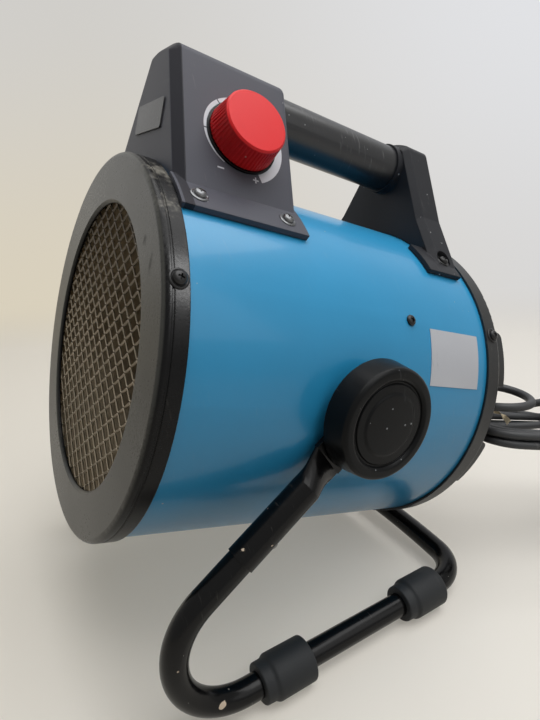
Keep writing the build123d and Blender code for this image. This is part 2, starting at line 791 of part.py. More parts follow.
# ---- small electrical pieces ------------------------------------------------------
with BuildPart() as terminal_block:
    with BuildSketch(on_drum(block_angle, flange_inner, block_depth)):
        Rectangle(block_length, block_width)
    extrude(amount=block_height)
    with BuildSketch(on_drum(block_angle, flange_inner + block_height, block_depth)):
        with GridLocations(block_length / 4, block_width / 2, 4, 2):
            Circle(1.8)
    extrude(amount=-block_height * 0.6, mode=Mode.SUBTRACT)
finish(terminal_block.part, "terminal_block")

with BuildPart() as thermal_cutout:
    with BuildSketch(on_drum(cutout_angle, duct_radius + fit_gap, cutout_depth)):
        Circle(cutout_radius)
    extrude(amount=cutout_height * 0.6)
    with BuildSketch(on_drum(cutout_angle, duct_radius + fit_gap + cutout_height * 0.6, cutout_depth)):
        Circle(cutout_radius * 0.7)
    extrude(amount=cutout_height * 0.4)
finish(thermal_cutout.part, "thermal_cutout")

with BuildPart() as thermostat_bulb:
    bulb_ring = drum_radius - drum_wall - fit_gap - bulb_radius
    with BuildSketch(across(bulb_front)):
        with Locations((bulb_ring * cos(radians(bulb_angle)), bulb_ring * sin(radians(bulb_angle)))):
            Circle(bulb_radius)
    extrude(amount=-bulb_length)
    fillet(thermostat_bulb.edges().filter_by(GeomType.CIRCLE), bulb_radius * 0.7)
finish(thermostat_bulb.part, "thermostat_bulb")

# ---- plates ------------------------------------------------------------------------
with BuildPart() as front_badge:
    with BuildSketch(across(box_front)):
        with Locations((0, crease_height + badge_above_crease)):
            RectangleRounded(badge_width, badge_height, 1.5)
    extrude(amount=badge_thickness)
finish(front_badge.part, "front_badge")

finish(curved_plate(drum_radius + fit_gap / 6, label_thickness, label_low_angle, label_high_angle,
                    label_front, label_rear), "rating_label")

# ---- stand: two upper arms with flattened ends, one bent lower frame ----------------
arm_way = Vector(0, -cos(radians(arm_slope)), -sin(radians(arm_slope)))
arm_under = Vector(0, sin(radians(arm_slope)), -cos(radians(arm_slope)))
frame_top = arm_length - frame_insert
frame_screw_along = arm_length - frame_screw_from_end
bend_start = ((rail_drop - bend_radius - bend_radius * cos(radians(arm_slope)))
              / sin(radians(arm_slope)))


def arm_plane(sign, along, x):
    """A plane square to an arm, looking down along it."""
    return Plane(origin=pivot + across_x * (sign * x) + arm_way * along,
                 x_dir=across_x, z_dir=arm_way)


def screw_seat(sign):
    """Where the fixing screw of a joint sits, under the arm."""
    seat = (pivot + across_x * (sign * stand_half_width) + arm_way * frame_screw_along
            + arm_under * arm_tube_radius)
    return Plane(origin=seat, x_dir=across_x, z_dir=arm_under)


for sign, name in ((1, "right_arm"), (-1, "left_arm")):
    flat_middle = pad_flat + flat_thickness / 2
    eye = Plane(origin=pivot + across_x * (sign * pad_flat), x_dir=arm_way,
                z_dir=across_x * sign)
    with BuildPart() as upper_arm:
        with BuildSketch(eye):
            Circle(flat_width / 2)
            with Locations((flat_length / 2, 0)):
                Rectangle(flat_length, flat_width)
        extrude(amount=flat_thickness)
        with BuildSketch(arm_plane(sign, flat_length, flat_middle)):
            RectangleRounded(flat_thickness, flat_width, flat_thickness * 0.45)
        with BuildSketch(arm_plane(sign, flat_length + flat_taper, stand_half_width)):
            Circle(arm_tube_radius)
        loft()
        with BuildSketch(arm_plane(sign, flat_length + flat_taper, stand_half_width)):
            Circle(arm_tube_radius)
        extrude(amount=arm_length - flat_length - flat_taper)
        with BuildSketch(arm_plane(sign, arm_length, stand_half_width)):
            Circle(arm_tube_radius - arm_tube_wall)
        extrude(amount=-(arm_length - flat_length - flat_taper), mode=Mode.SUBTRACT)
        with BuildSketch(eye):
            Circle(stud_radius + bore_gap)
        extrude(amount=flat_thickness, mode=Mode.SUBTRACT)
        with BuildSketch(screw_seat(sign)):
            Circle(shank_radius + bore_gap)
        extrude(amount=-shank_length, mode=Mode.SUBTRACT)
    finish(upper_arm.part, name)


def in_side(y, z):
    """A point of the right half of the frame, from the pivot."""
    return pivot + Vector(stand_half_width, y, z)


bend_y = -bend_start * cos(radians(arm_slope)) + bend_radius * sin(radians(arm_slope))
bend_z = bend_radius - rail_drop
corner_x = stand_half_width - rear_corner_radius
corner_turn = radians(90 - cross_bar_bow_angle)
bar_start_x = corner_x + rear_corner_radius * cos(corner_turn)
bar_start_y = rail_straight_end + rear_corner_radius * sin(corner_turn)
bow_radius = bar_start_x / sin(radians(cross_bar_bow_angle))
half_bow = radians(cross_bar_bow_angle / 2)
bow_centre_y = bar_start_y - bow_radius * cos(radians(cross_bar_bow_angle))
bend_middle = radians(180 + arm_slope / 2)
with BuildPart() as lower_frame:
    with BuildLine():
        top = pivot + across_x * stand_half_width + arm_way * frame_top
        bend_in = pivot + across_x * stand_half_width + arm_way * bend_start
        bend_out = in_side(bend_y, -rail_drop)
        Line(top, bend_in)
        ThreePointArc(bend_in, in_side(bend_y + bend_radius * cos(bend_middle),
                                       bend_z + bend_radius * sin(bend_middle)), bend_out)
        rail_end = in_side(rail_straight_end, -rail_drop)
        Line(bend_out, rail_end)
        corner_out = pivot + Vector(bar_start_x, bar_start_y, -rail_drop)
        ThreePointArc(rail_end,
                      pivot + Vector(corner_x + rear_corner_radius * cos(corner_turn / 2),
                                     rail_straight_end + rear_corner_radius * sin(corner_turn / 2),
                                     -rail_drop), corner_out)
        ThreePointArc(corner_out,
                      pivot + Vector(bow_radius * sin(half_bow),
                                     bow_centre_y + bow_radius * cos(half_bow), -rail_drop),
                      pivot + Vector(0, bow_centre_y + bow_radius, -rail_drop))
    with BuildSketch(Plane(origin=top, x_dir=across_x, z_dir=arm_way)):
        Circle(frame_tube_radius)
        Circle(frame_tube_radius - frame_tube_wall, mode=Mode.SUBTRACT)
    sweep()
    with BuildSketch(screw_seat(1)):
        Circle(shank_radius + bore_gap)
    extrude(amount=-shank_length, mode=Mode.SUBTRACT)
    mirror(about=Plane.YZ)
finish(lower_frame.part, "lower_frame")

for sign, side_name in ((1, "right"), (-1, "left")):
    for depth, end_name in zip(foot_depths, ("front", "rear")):
        start = pivot + Vector(sign * stand_half_width, depth, -rail_drop)
        with BuildPart() as foot_sleeve:
            with BuildSketch(Plane(origin=start, x_dir=across_x, z_dir=(0, 1, 0))):
                Circle(foot_end_radius)
            extrude(amount=foot_length)
            with BuildSketch(Plane(origin=start + Vector(0, foot_step, 0), x_dir=across_x,
                                   z_dir=(0, 1, 0))):
                Circle(foot_radius)
            extrude(amount=foot_length - foot_step)
            chamfer(foot_sleeve.edges().filter_by(GeomType.CIRCLE)
                    .filter_by(lambda e: abs(e.radius - foot_radius) < 0.01), foot_chamfer)
            with BuildSketch(Plane(origin=start, x_dir=across_x, z_dir=(0, 1, 0))):
                Circle(frame_tube_radius + bore_gap / 2)
            extrude(amount=foot_length, mode=Mode.SUBTRACT)
            with BuildSketch(Plane(origin=start - Vector(0, 0, foot_radius), x_dir=across_x,
                                   z_dir=(0, 0, 1))):
                Rectangle(2 * foot_radius, 2 * foot_length)
            extrude(amount=foot_flat, mode=Mode.SUBTRACT)
        finish(foot_sleeve.part, f"foot_sleeve_{side_name}_{end_name}")

# ---- pivots: saddle pads, studs and clamp knobs ---------------------------------------
knob_base = pad_flat + flat_thickness + knob_base_gap
knob_face = knob_base + knob_thickness
for sign, side_name in ((1, "right"), (-1, "left")):
    outer = across_x * sign
    pad_plane = Plane(origin=pivot + outer * pad_flat, x_dir=rearward, z_dir=outer)
    with BuildPart() as pivot_pad:
        with BuildSketch(pad_plane):
            Circle(pad_radius)
        extrude(amount=-10)
        with BuildSketch(across(-2 * pad_radius)):
            Circle(drum_radius + bore_gap)
        extrude(amount=-4 * pad_radius, mode=Mode.SUBTRACT)
        with BuildSketch(pad_plane):
            Circle(stud_radius + bore_gap)
        extrude(amount=-10, mode=Mode.SUBTRACT)
    finish(pivot_pad.part, f"pivot_pad_{side_name}")

    head_face = drum_radius - drum_wall - stud_head_radius ** 2 / 2 / drum_radius - fit_gap
    with BuildPart() as pivot_stud:
        with BuildSketch(Plane(origin=pivot + outer * head_face, x_dir=rearward, z_dir=outer)):
            Circle(stud_head_radius)
        extrude(amount=-stud_head_thickness)
        with BuildSketch(Plane(origin=pivot + outer * head_face, x_dir=rearward, z_dir=outer)):
            Circle(stud_radius)
        extrude(amount=knob_base + stud_in_knob - head_face)
    finish(pivot_stud.part, f"pivot_stud_{side_name}")

    with BuildPart() as clamp_knob:
        with BuildSketch(Plane(origin=pivot, x_dir=outer, z_dir=outer.cross(upward))):
            with BuildLine():
                recess = knob_face - knob_recess_depth
                groove_in = knob_groove_radius - knob_groove_width / 2
                groove_out = knob_groove_radius + knob_groove_width / 2
                bottom = recess - knob_groove_depth
                Polyline((knob_base, 0), (knob_base, knob_radius - knob_edge),
                         (knob_base + knob_edge, knob_radius),
                         (knob_face - knob_edge, knob_face_radius),
                         (knob_face, knob_face_radius - knob_edge),
                         (knob_face, groove_out + knob_recess_depth),
                         (recess, groove_out), (bottom, groove_out), (bottom, groove_in),
                         (recess, groove_in), (recess, knob_disc_radius + knob_disc_rise),
                         (recess + knob_disc_rise, knob_disc_radius),
                         (recess + knob_disc_rise, 0), close=True)
            make_face()
        revolve(axis=Axis(pivot, outer))
        with BuildSketch(Plane(origin=pivot + outer * knob_base, x_dir=rearward, z_dir=outer)):
            Circle(stud_radius + bore_gap)
        extrude(amount=stud_in_knob + fit_gap, mode=Mode.SUBTRACT)
    finish(clamp_knob.part, f"clamp_knob_{side_name}")

# ---- screws ----------------------------------------------------------------------------
screw_groups = {
    "outlet_ring_screws": (ring_screw_seats, True),
    "rear_cover_screws": (rear_screw_seats, True),
    "drum_screws": (drum_screw_seats, False),
    "control_box_screws": (box_screw_seats, True),
    "pillar_screws": (pillar_screw_seats, True),
    "frame_screws": ([screw_seat(1), screw_seat(-1)], False),
}
for name, (seats, washer) in screw_groups.items():
    finish(Compound(children=[pan_screw(seat, washer) for seat in seats]), name)

# ---- cord gland: flange, tapered strain relief and inside nut ---------------------------
with BuildPart() as cord_gland:
    with BuildSketch(across(rear_face)):
        with Locations((gland_x, gland_up)):
            Circle(gland_flange)
    extrude(amount=-2)
    with BuildSketch(across(rear_face + 2)):
        with Locations((gland_x, gland_up)):
            Circle(gland_radius)
    with BuildSketch(across(rear_face + gland_length)):
        with Locations((gland_x, gland_up)):
            Circle(gland_tip_radius)
    loft()
    with BuildSketch(across(rear_face)):
        with Locations((gland_x, gland_up)):
            Circle(gland_hole_radius - bore_gap)
    extrude(amount=cover_plate + gland_nut_thickness)
    with BuildSketch(across(rear_face - cover_plate)):
        with Locations((gland_x, gland_up)):
            Circle(gland_nut_radius)
    extrude(amount=gland_nut_thickness)
finish(cord_gland.part, "cord_gland")


# ---- mains cord: straight runs joined by the largest arcs that fit -----------------------
def corner_radii(points, name):
    """The radius at each corner of a route, printed with its length."""
    radii = []
    for before, corner, after in zip(points, points[1:], points[2:]):
        run_in = corner - before
        run_out = after - corner
        half_turn = radians(run_in.get_angle(run_out)) / 2
        radii.append(0.45 * min(run_in.length, run_out.length) / tan(half_turn))
    print(name, "radii", [round(r, 1) for r in radii])
    return radii


def cord_tube(points, name):
    """A tube along a route of corner points."""
    with BuildPart() as tube:
        with BuildLine() as route:
            FilletPolyline(*points, radius=corner_radii(points, name))
        with BuildSketch(Plane(origin=points[0], z_dir=points[1] - points[0])):
            Circle(cord_radius)
        sweep()
    length = sum(edge.length for edge in route.edges())
    print(name, "length", round(length, 1), "volume over section times length",
          round(tube.part.volume / (pi * cord_radius ** 2 * length), 5))
    return tube.part


# the hank's own frame: x across it, y along its runs, z up through its layers
along = (across_x * hank_way[0] + rearward * hank_way[1] + upward * hank_way[2]).normalized()
hank_side = (across_x * hank_way[1] - rearward * hank_way[0]).normalized()
hank_over = hank_side.cross(along)


def from_tip(x, depth, up):
    """A point measured from the gland's tip."""
    return spot(gland_x + x, rear_face + gland_length + depth, gland_up + up)


hank_origin = from_tip(*hank_from_tip)


def in_hank(x, y, z):
    """A point of the hank's own frame."""
    return hank_origin + hank_side * x + along * y + hank_over * z


first_x = -(hank_half_width + turn_pitch)
cord_end = in_hank(first_x, -2 * cord_radius, 0)
lead_route = [from_tip(0, 0, 0),
              from_tip(0, 17.2, 0),
              from_tip(12.8, 29.3, 1.6),
              from_tip(30.3, 29.3, 0.7),
              from_tip(42.6, 17.0, -1.8),
              from_tip(42.4, -0.5, -4.9),
              from_tip(30.2, -12.9, -8.8),
              from_tip(12.7, -13.6, -12.3),
              from_tip(-3.2, -10.9, -16.7),
              from_tip(-12.8, -0.6, -21.4),
              cord_end - along * 14.8,
              cord_end]
finish(cord_tube(lead_route, "mains_cord_lead"), "mains_cord_lead")

# two layers of two turns: in on the lower layer, up along a run, out on the upper one
drawn = [hank_half_width, hank_half_width - turn_pitch]
far_stops = [drawn[0], drawn[1], drawn[1], drawn[0]]
near_stops = [-drawn[1], -drawn[1] + turn_pitch, -drawn[1], -drawn[0]]
levels = [-turn_pitch, -turn_pitch, 0, 0]
with BuildPart() as cord_hank:
    with BuildLine() as hank_path:
        here_x, level = first_x, 0
        Line(cord_end, in_hank(here_x, 0, 0))
        for far_x, near_x, next_level in zip(far_stops, near_stops, levels):
            run_start = in_hank(here_x, 0, level)
            run_end = in_hank(here_x, hank_run, next_level)
            if next_level == level:
                Line(run_start, run_end)
            else:
                middle = (run_start + run_end) / 2
                rise = (next_level - level) / 2
                sway_radius = ((hank_run / 2) ** 2 + rise ** 2) / (2 * rise)
                half_sway = asin(hank_run / 2 / sway_radius) / 2
                bulge_y = sway_radius * sin(half_sway)
                bulge_z = sway_radius * (1 - cos(half_sway))
                ThreePointArc(run_start, in_hank(here_x, bulge_y, level + bulge_z), middle)
                ThreePointArc(middle, in_hank(here_x, hank_run - bulge_y, next_level - bulge_z),
                              run_end)
            level = next_level
            fold = (far_x - here_x) / 2
            ThreePointArc(run_end, in_hank(far_x - fold, hank_run + fold, level),
                          in_hank(far_x, hank_run, level))
            Line(in_hank(far_x, hank_run, level), in_hank(far_x, 0, level))
            fold = (far_x - near_x) / 2
            ThreePointArc(in_hank(far_x, 0, level), in_hank(far_x - fold, -fold, level),
                          in_hank(near_x, 0, level))
            here_x = near_x
        hank_end = in_hank(here_x, 2 * cord_radius, 0)
        Line(in_hank(here_x, 0, 0), hank_end)
    with BuildSketch(Plane(origin=cord_end, z_dir=along)):
        Circle(cord_radius)
    sweep()
hank_edges = hank_path.edges()
marks = []
travelled = 0.0
for edge in hank_edges:
    steps = max(2, round(edge.length / 2))
    marks += [(travelled + edge.length * i / steps, edge.position_at(i / steps))
              for i in range(steps)]
    travelled += edge.length
least_gap = min((a - b).length for m, a in marks for n, b in marks if n - m > 8 * cord_radius)
print("cord_hank length", round(travelled, 1), "least gap", round(least_gap - 2 * cord_radius, 2))
print("cord_hank volume over section times length",
      round(cord_hank.part.volume / (pi * cord_radius ** 2 * travelled), 5))
finish(cord_hank.part, "cord_hank")

entry_up = cord_radius + plug_gap + plug_thickness / 2
tail_route = [hank_end,
              in_hank(-drawn[0], 18.0, 0),
              in_hank(-26.5, 31.0, 7.5),
              in_hank(-15.0, 44.0, entry_up),
              in_hank(plug_x, plug_entry, entry_up)]
finish(cord_tube(tail_route, "mains_cord_tail"), "mains_cord_tail")

# ---- plug: a moulded body with three flat pins, lying on the hank -------------------------
entry_way = (tail_route[4] - tail_route[3]).normalized()
plug_plane = Plane(origin=tail_route[4] + entry_way * (plug_neck_length + plug_length / 2),
                   x_dir=entry_way, z_dir=hank_over)
with BuildPart() as mains_plug:
    with BuildSketch(plug_plane.offset(-plug_thickness / 2)):
        RectangleRounded(plug_length, plug_width, plug_round * 2)
    extrude(amount=plug_thickness)
    fillet(mains_plug.faces().sort_by(Axis(hank_origin, hank_over))[-1].edges(), plug_round / 2)
    with BuildSketch(Plane(origin=tail_route[4], z_dir=entry_way)):
        Circle(plug_neck_radius)
    extrude(amount=plug_neck_length + plug_round * 2)
finish(mains_plug.part, "mains_plug")

pin_plane = plug_plane.offset(plug_thickness / 2)
pins = []
for along_pin, across_pin, wide, thick in (
        (-plug_length / 4, pin_apart / 2, pin_thick, pin_width),
        (-plug_length / 4, -pin_apart / 2, pin_thick, pin_width),
        (earth_pin_set - plug_length / 4, 0, earth_pin_width, pin_thick)):
    with BuildPart() as pin:
        with BuildSketch(pin_plane):
            with Locations((along_pin, across_pin)):
                Rectangle(wide, thick)
        extrude(amount=pin_reach)
        chamfer(pin.faces().sort_by(Axis(hank_origin, hank_over))[-1].edges(), 0.8)
    pins.append(pin.part)
finish(Compound(children=pins), "plug_pins")

# ---- paper tie: a band that binds the cord's loop to the hank's nearest fold -----------------
tie_low = in_hank(hank_half_width * sin(radians(tie_turn)), -hank_half_width * cos(radians(tie_turn)), 0)
loop_start, loop_end = lead_route[6], lead_route[7]
tie_share = (loop_start.X - tie_low.X) / (loop_start.X - loop_end.X)
tie_high = loop_start + (loop_end - loop_start) * tie_share
tie_radius = cord_radius + 2.5 * bore_gap
with BuildPart() as cord_tie:
    with BuildSketch(Plane(origin=(tie_low + tie_high) / 2 - across_x * (tie_width / 2),
                           x_dir=tie_high - tie_low, z_dir=across_x)):
        SlotCenterToCenter((tie_high - tie_low).length, 2 * (tie_radius + tie_wall))
        SlotCenterToCenter((tie_high - tie_low).length, 2 * tie_radius, mode=Mode.SUBTRACT)
    extrude(amount=tie_width)
finish(cord_tie.part, "cord_tie")
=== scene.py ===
import bpy
from math import cos, pi, radians, sin
from mathutils import Matrix, Vector
from mathutils.geometry import interpolate_bezier


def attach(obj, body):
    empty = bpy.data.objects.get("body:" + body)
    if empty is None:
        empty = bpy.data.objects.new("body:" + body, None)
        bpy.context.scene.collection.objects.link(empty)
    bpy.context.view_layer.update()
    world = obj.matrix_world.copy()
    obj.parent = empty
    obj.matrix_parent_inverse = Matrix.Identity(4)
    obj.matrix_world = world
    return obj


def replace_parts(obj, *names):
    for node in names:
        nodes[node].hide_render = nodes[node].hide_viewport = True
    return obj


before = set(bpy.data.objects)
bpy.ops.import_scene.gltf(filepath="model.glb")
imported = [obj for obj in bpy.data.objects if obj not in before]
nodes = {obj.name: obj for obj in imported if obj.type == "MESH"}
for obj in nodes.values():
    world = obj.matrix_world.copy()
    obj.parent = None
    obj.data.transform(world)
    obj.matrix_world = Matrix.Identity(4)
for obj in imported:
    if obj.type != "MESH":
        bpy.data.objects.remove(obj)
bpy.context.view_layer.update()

# ---- camera ------------------------------------------------------------------
# The heater is seen from close by on its dial side, a little above its middle.
# Its drum leans back on the stand, so places are given in the drum's own frame.
tilt = radians(16.0)
pivot = Vector((0.0, 0.001911, 0.1544))
rearward = Vector((0.0, cos(tilt), -sin(tilt)))
upward = Vector((0.0, sin(tilt), cos(tilt)))


def way(x, depth, up):
    """A direction of the drum's frame: across, rearwards, up."""
    return Vector((x, 0, 0)) + rearward * depth + upward * up


def spot(x, depth, up):
    """A point of the drum's frame, given in mm from the pivots."""
    return pivot + way(x, depth, up) / 1000


def in_scene(name, data):
    """A new object that is linked to the scene."""
    thing = bpy.data.objects.new(name, data)
    bpy.context.scene.collection.objects.link(thing)
    return thing


# the picture's own right and top, and the way back to the camera
to_right, to_top = way(0.52191, 0.82797, 0.20512), way(-0.25051, -0.08109, 0.96471)
to_camera = way(0.81539, -0.55488, 0.16509)
camera_place = spot(307.87, -203.29, 64.28)
camera = in_scene("camera", bpy.data.cameras.new("camera"))
camera.data.lens = 25.87
camera.data.clip_start = 0.02
camera_axes = Matrix((to_right, to_top, to_camera)).transposed()
camera.matrix_world = Matrix.Translation(camera_place) @ camera_axes.to_4x4()
bpy.context.scene.camera = camera

# ---- mains cord --------------------------------------------------------------
# A round rubber cord, 6 mm thick. It leaves the back by its gland, makes one loop, and is
# wound into a hank of two layers, still held by a twist of cream paper. Its plug lies on it.
cord_width = 0.006


def wire(tree, kind, inputs=None, **settings):
    """A new node with its settings; each input is a value or another node's socket."""
    node = tree.nodes.new(kind)
    for key, value in settings.items():
        setattr(node, key, value)
    for key, value in (inputs or {}).items():
        if isinstance(value, bpy.types.NodeSocket):
            tree.links.new(value, node.inputs[key])
        else:
            node.inputs[key].default_value = value
    return node


def maths(tree, kind, a, b=0.0, c=0.0):
    """One Math node's value."""
    return wire(tree, "ShaderNodeMath", {0: a, 1: b, 2: c}, operation=kind).outputs[0]


def step(tree, value, low, high):
    """A mask that rises from 0 at low to 1 at high."""
    return wire(tree, "ShaderNodeMapRange", {"Value": value, "From Min": low, "From Max": high},
                interpolation_type="SMOOTHSTEP").outputs["Result"]


def blended(tree, factor, one, other):
    """One colour that turns into another as factor goes from 0 to 1."""
    return wire(tree, "ShaderNodeMix", {"Factor": factor, 6: one, 7: other},
                data_type="RGBA").outputs[2]


def length_of(tree, vector):
    """A vector's length."""
    return wire(tree, "ShaderNodeVectorMath", {0: vector}, operation="LENGTH").outputs["Value"]


def reach_along(tree, where, direction):
    """How far a place lies along a direction."""
    return wire(tree, "ShaderNodeVectorMath", {0: where, 1: direction},
                operation="DOT_PRODUCT").outputs["Value"]


def shade(r, g, b):
    """A colour as a photograph shows it, 0 to 255, made linear."""
    return [((c / 255 + 0.055) / 1.055) ** 2.4 for c in (r, g, b)] + [1.0]


def new_group(name, kind, inputs, outputs):
    """An empty node group with its named sockets, and its inputs as seen from inside."""
    group = bpy.data.node_groups.new(name, kind + "NodeTree")
    for in_out, sockets in (("INPUT", inputs), ("OUTPUT", outputs)):
        for socket_name, socket_kind, *value in sockets:
            socket = group.interface.new_socket(socket_name, in_out=in_out,
                                                socket_type="NodeSocket" + socket_kind)
            if value:
                socket.default_value = value[0]
    return group, group.nodes.new("NodeGroupInput").outputs


# The worn skin that every moulded, painted or rolled surface here shares: a fine grain,
# slow changes of tone, pale dust specks, and thin scuffs in patches.
skin, given = new_group("worn skin", "Shader", (
    ("Vector", "Vector", (0, 0, 0)), ("Colour", "Color", (0.1, 0.1, 0.1, 1)),
    ("Worn Colour", "Color", (0.5, 0.5, 0.5, 1)), ("Roughness", "Float", 0.4),
    ("Roughness Spread", "Float", 0.12), ("Grain Scale", "Float", 900.0),
    ("Grain Height", "Float", 0.00005), ("Mottle", "Float", 0.12), ("Specks", "Float", 0.03),
    ("Speck Scale", "Float", 330.0), ("Scuffs", "Float", 0.1),
    ("Edge Normal", "Vector", (0, 0, 0))),
    (("Colour", "Color"), ("Roughness", "Float"), ("Normal", "Vector")))
place = given["Vector"]
slow = wire(skin, "ShaderNodeTexNoise", {"Vector": place, "Scale": 16.0,
                                         "Detail": 5.0}).outputs[0]
fine = wire(skin, "ShaderNodeTexNoise", {"Vector": place, "Scale": given["Grain Scale"],
                                         "Detail": 3.0}).outputs[0]
# specks: a few of many small cells, each with a speck of its own size
cells = wire(skin, "ShaderNodeTexVoronoi", {"Vector": place, "Scale": given["Speck Scale"]})
picked = wire(skin, "ShaderNodeSeparateColor", {"Color": cells.outputs["Color"]}).outputs
speck_size = maths(skin, "MULTIPLY_ADD", picked[1], 0.11, 0.03)
speck = maths(skin, "MULTIPLY",
              maths(skin, "LESS_THAN", cells.outputs["Distance"], speck_size),
              maths(skin, "LESS_THAN", picked[0], given["Specks"]))
# scuffs: fine streaks, drawn out in one direction, that show only in patches
drawn_out = wire(skin, "ShaderNodeMapping", {"Vector": place, "Rotation": (0.5, 0.3, 0.9),
                                             "Scale": (40.0, 520.0, 90.0)}).outputs[0]
streak = wire(skin, "ShaderNodeTexNoise", {"Vector": drawn_out, "Scale": 1.0,
                                           "Detail": 2.0}).outputs[0]
patch = wire(skin, "ShaderNodeTexNoise", {"Vector": place, "Scale": 30.0}).outputs[0]
scuff = maths(skin, "MULTIPLY", step(skin, streak, 0.62, 0.72), step(skin, patch, 0.5, 0.66))
wear = maths(skin, "MAXIMUM", speck, maths(skin, "MULTIPLY", scuff, given["Scuffs"]))
tone = maths(skin, "MULTIPLY_ADD", maths(skin, "MULTIPLY_ADD", slow, 2.0, -1.0),
             given["Mottle"], 1.0)
toned = wire(skin, "ShaderNodeVectorMath", {0: given["Colour"], "Scale": tone},
             operation="SCALE").outputs[0]
mixed = blended(skin, wear, toned, given["Worn Colour"])
spread = maths(skin, "MULTIPLY", maths(skin, "SUBTRACT", maths(skin, "ADD", slow, fine), 1.0),
               given["Roughness Spread"])
rough = maths(skin, "ADD", maths(skin, "ADD", given["Roughness"], spread),
              maths(skin, "MULTIPLY", wear, 0.3))
bump = wire(skin, "ShaderNodeBump", {"Strength": 1.0, "Distance": given["Grain Height"],
                                     "Height": fine, "Normal": given["Edge Normal"]}).outputs[0]
out = skin.nodes.new("NodeGroupOutput")
for socket, socket_name in ((mixed, "Colour"), (rough, "Roughness"), (bump, "Normal")):
    skin.links.new(socket, out.inputs[socket_name])


def finish_of(name, colour, roughness, metallic=0.0, specular=0.5, coat=0.0,
              coat_roughness=0.12, edge=0.0, **skin_values):
    """A material with the worn skin. Edge is the radius, in metres, that softens the light
    on sharp corners."""
    material = bpy.data.materials.new(name)
    material.use_nodes = True
    tree = material.node_tree
    shader = tree.nodes["Principled BSDF"]
    where = wire(tree, "ShaderNodeTexCoord", name="where").outputs["Object"]
    worn = wire(tree, "ShaderNodeGroup", node_tree=skin)
    tree.links.new(where, worn.inputs["Vector"])
    soft = (wire(tree, "ShaderNodeBevel", {"Radius": edge}, samples=4) if edge
            else wire(tree, "ShaderNodeNewGeometry"))
    tree.links.new(soft.outputs["Normal"], worn.inputs["Edge Normal"])
    worn.inputs["Colour"].default_value = colour
    worn.inputs["Roughness"].default_value = roughness
    for key, value in skin_values.items():
        worn.inputs[key.replace("_", " ").title()].default_value = value
    shader.inputs["Metallic"].default_value = metallic
    shader.inputs["Specular IOR Level"].default_value = specular
    shader.inputs["Coat Weight"].default_value = coat
    shader.inputs["Coat Roughness"].default_value = coat_roughness
    for key, target in (("Colour", "Base Color"), ("Roughness", "Roughness"),
                        ("Normal", "Normal")):
        tree.links.new(worn.outputs[key], shader.inputs[target])
    return material


def parts_of(material):
    """A finish's tree, its shader and its coordinates."""
    tree = material.node_tree
    return tree, tree.nodes["Principled BSDF"], tree.nodes["where"].outputs["Object"]


# A mark of known place and size: a chip, a rub or a smear, with a ragged outline.
mark, given = new_group("ragged mark", "Shader", (
    ("Vector", "Vector", (0, 0, 0)), ("Middle", "Vector", (0, 0, 0)),
    ("Stretch", "Vector", (1, 1, 1)), ("Radius", "Float", 0.002), ("Ragged", "Float", 0.4),
    ("Soft", "Float", 0.1), ("Detail Scale", "Float", 900.0)), (("Mask", "Float"),))
offset = wire(mark, "ShaderNodeVectorMath", {0: given["Vector"], 1: given["Middle"]},
              operation="SUBTRACT").outputs[0]
offset = wire(mark, "ShaderNodeVectorMath", {0: offset, 1: given["Stretch"]},
              operation="MULTIPLY").outputs[0]
reach = maths(mark, "DIVIDE", length_of(mark, offset), given["Radius"])
rag = wire(mark, "ShaderNodeTexNoise", {"Vector": given["Vector"], "Scale": given["Detail Scale"],
                                        "Detail": 3.0}).outputs[0]
rag = maths(mark, "MULTIPLY", maths(mark, "MULTIPLY_ADD", rag, 2.0, -1.0), given["Ragged"])
inside = step(mark, maths(mark, "ADD", reach, rag), 1.0,
              maths(mark, "SUBTRACT", 1.0, given["Soft"]))
mark.links.new(inside, mark.nodes.new("NodeGroupOutput").inputs["Mask"])


def marked(material, colour, strength, *marks):
    """Lays marks of one colour over a finish; each is (middle, radius, further values)."""
    tree, shader, where = parts_of(material)
    mask = 0.0
    for middle, radius, more in marks:
        one = wire(tree, "ShaderNodeGroup", {"Vector": where, "Middle": middle, "Radius": radius,
                                             **more}, node_tree=mark)
        mask = maths(tree, "MAXIMUM", mask, one.outputs["Mask"])
    mask = maths(tree, "MULTIPLY", mask, strength)
    before = shader.inputs["Base Color"].links[0].from_socket
    tree.links.new(blended(tree, mask, before, colour), shader.inputs["Base Color"])
    rough_before = shader.inputs["Roughness"].links[0].from_socket
    tree.links.new(maths(tree, "MULTIPLY_ADD", mask, 0.25, rough_before),
                   shader.inputs["Roughness"])


def dress(material, *names):
    """Gives CAD nodes a finish."""
    for name in names:
        for slot in nodes[name].material_slots:
            slot.material = material


def added(name, mesh_or_curve, material, body):
    """A new piece, with its finish, that rides on a body."""
    piece = in_scene(name, mesh_or_curve)
    if material:
        mesh_or_curve.materials.append(material)
    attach(piece, body)
    return piece


def mesh_of(name, points, faces):
    """A new mesh from its points and faces."""
    mesh = bpy.data.meshes.new(name)
    mesh.from_pydata(points, [], faces)
    return mesh


# the hank's own frame: across it, along its runs, up through its layers
along = way(0.42, 0.90, 0.14).normalized()
across = way(0.90, -0.42, 0.0).normalized()
over = across.cross(along)
hank_middle = spot(95.0, 161.5, -10.0)
gland_tip = (70.0, 143.4, 13.0)


def in_hank(x, y, z):
    """A point of the hank's frame, in mm."""
    return hank_middle + (across * x + along * y + over * z) / 1000


def from_tip(x, depth, up):
    """A point measured from the gland's tip, in mm."""
    return spot(gland_tip[0] + x, gland_tip[1] + depth, gland_tip[2] + up)


def fold(middle_x, middle_y, radius, level):
    """The cord's points round one fold of the hank, from one run to the next."""
    return [in_hank(middle_x - radius * cos(radians(a)), middle_y + radius * sin(radians(a)),
                    level) for a in range(0, 181, 30)]


run_length, pitch, first_run = 96.0, 6.7, -34.8
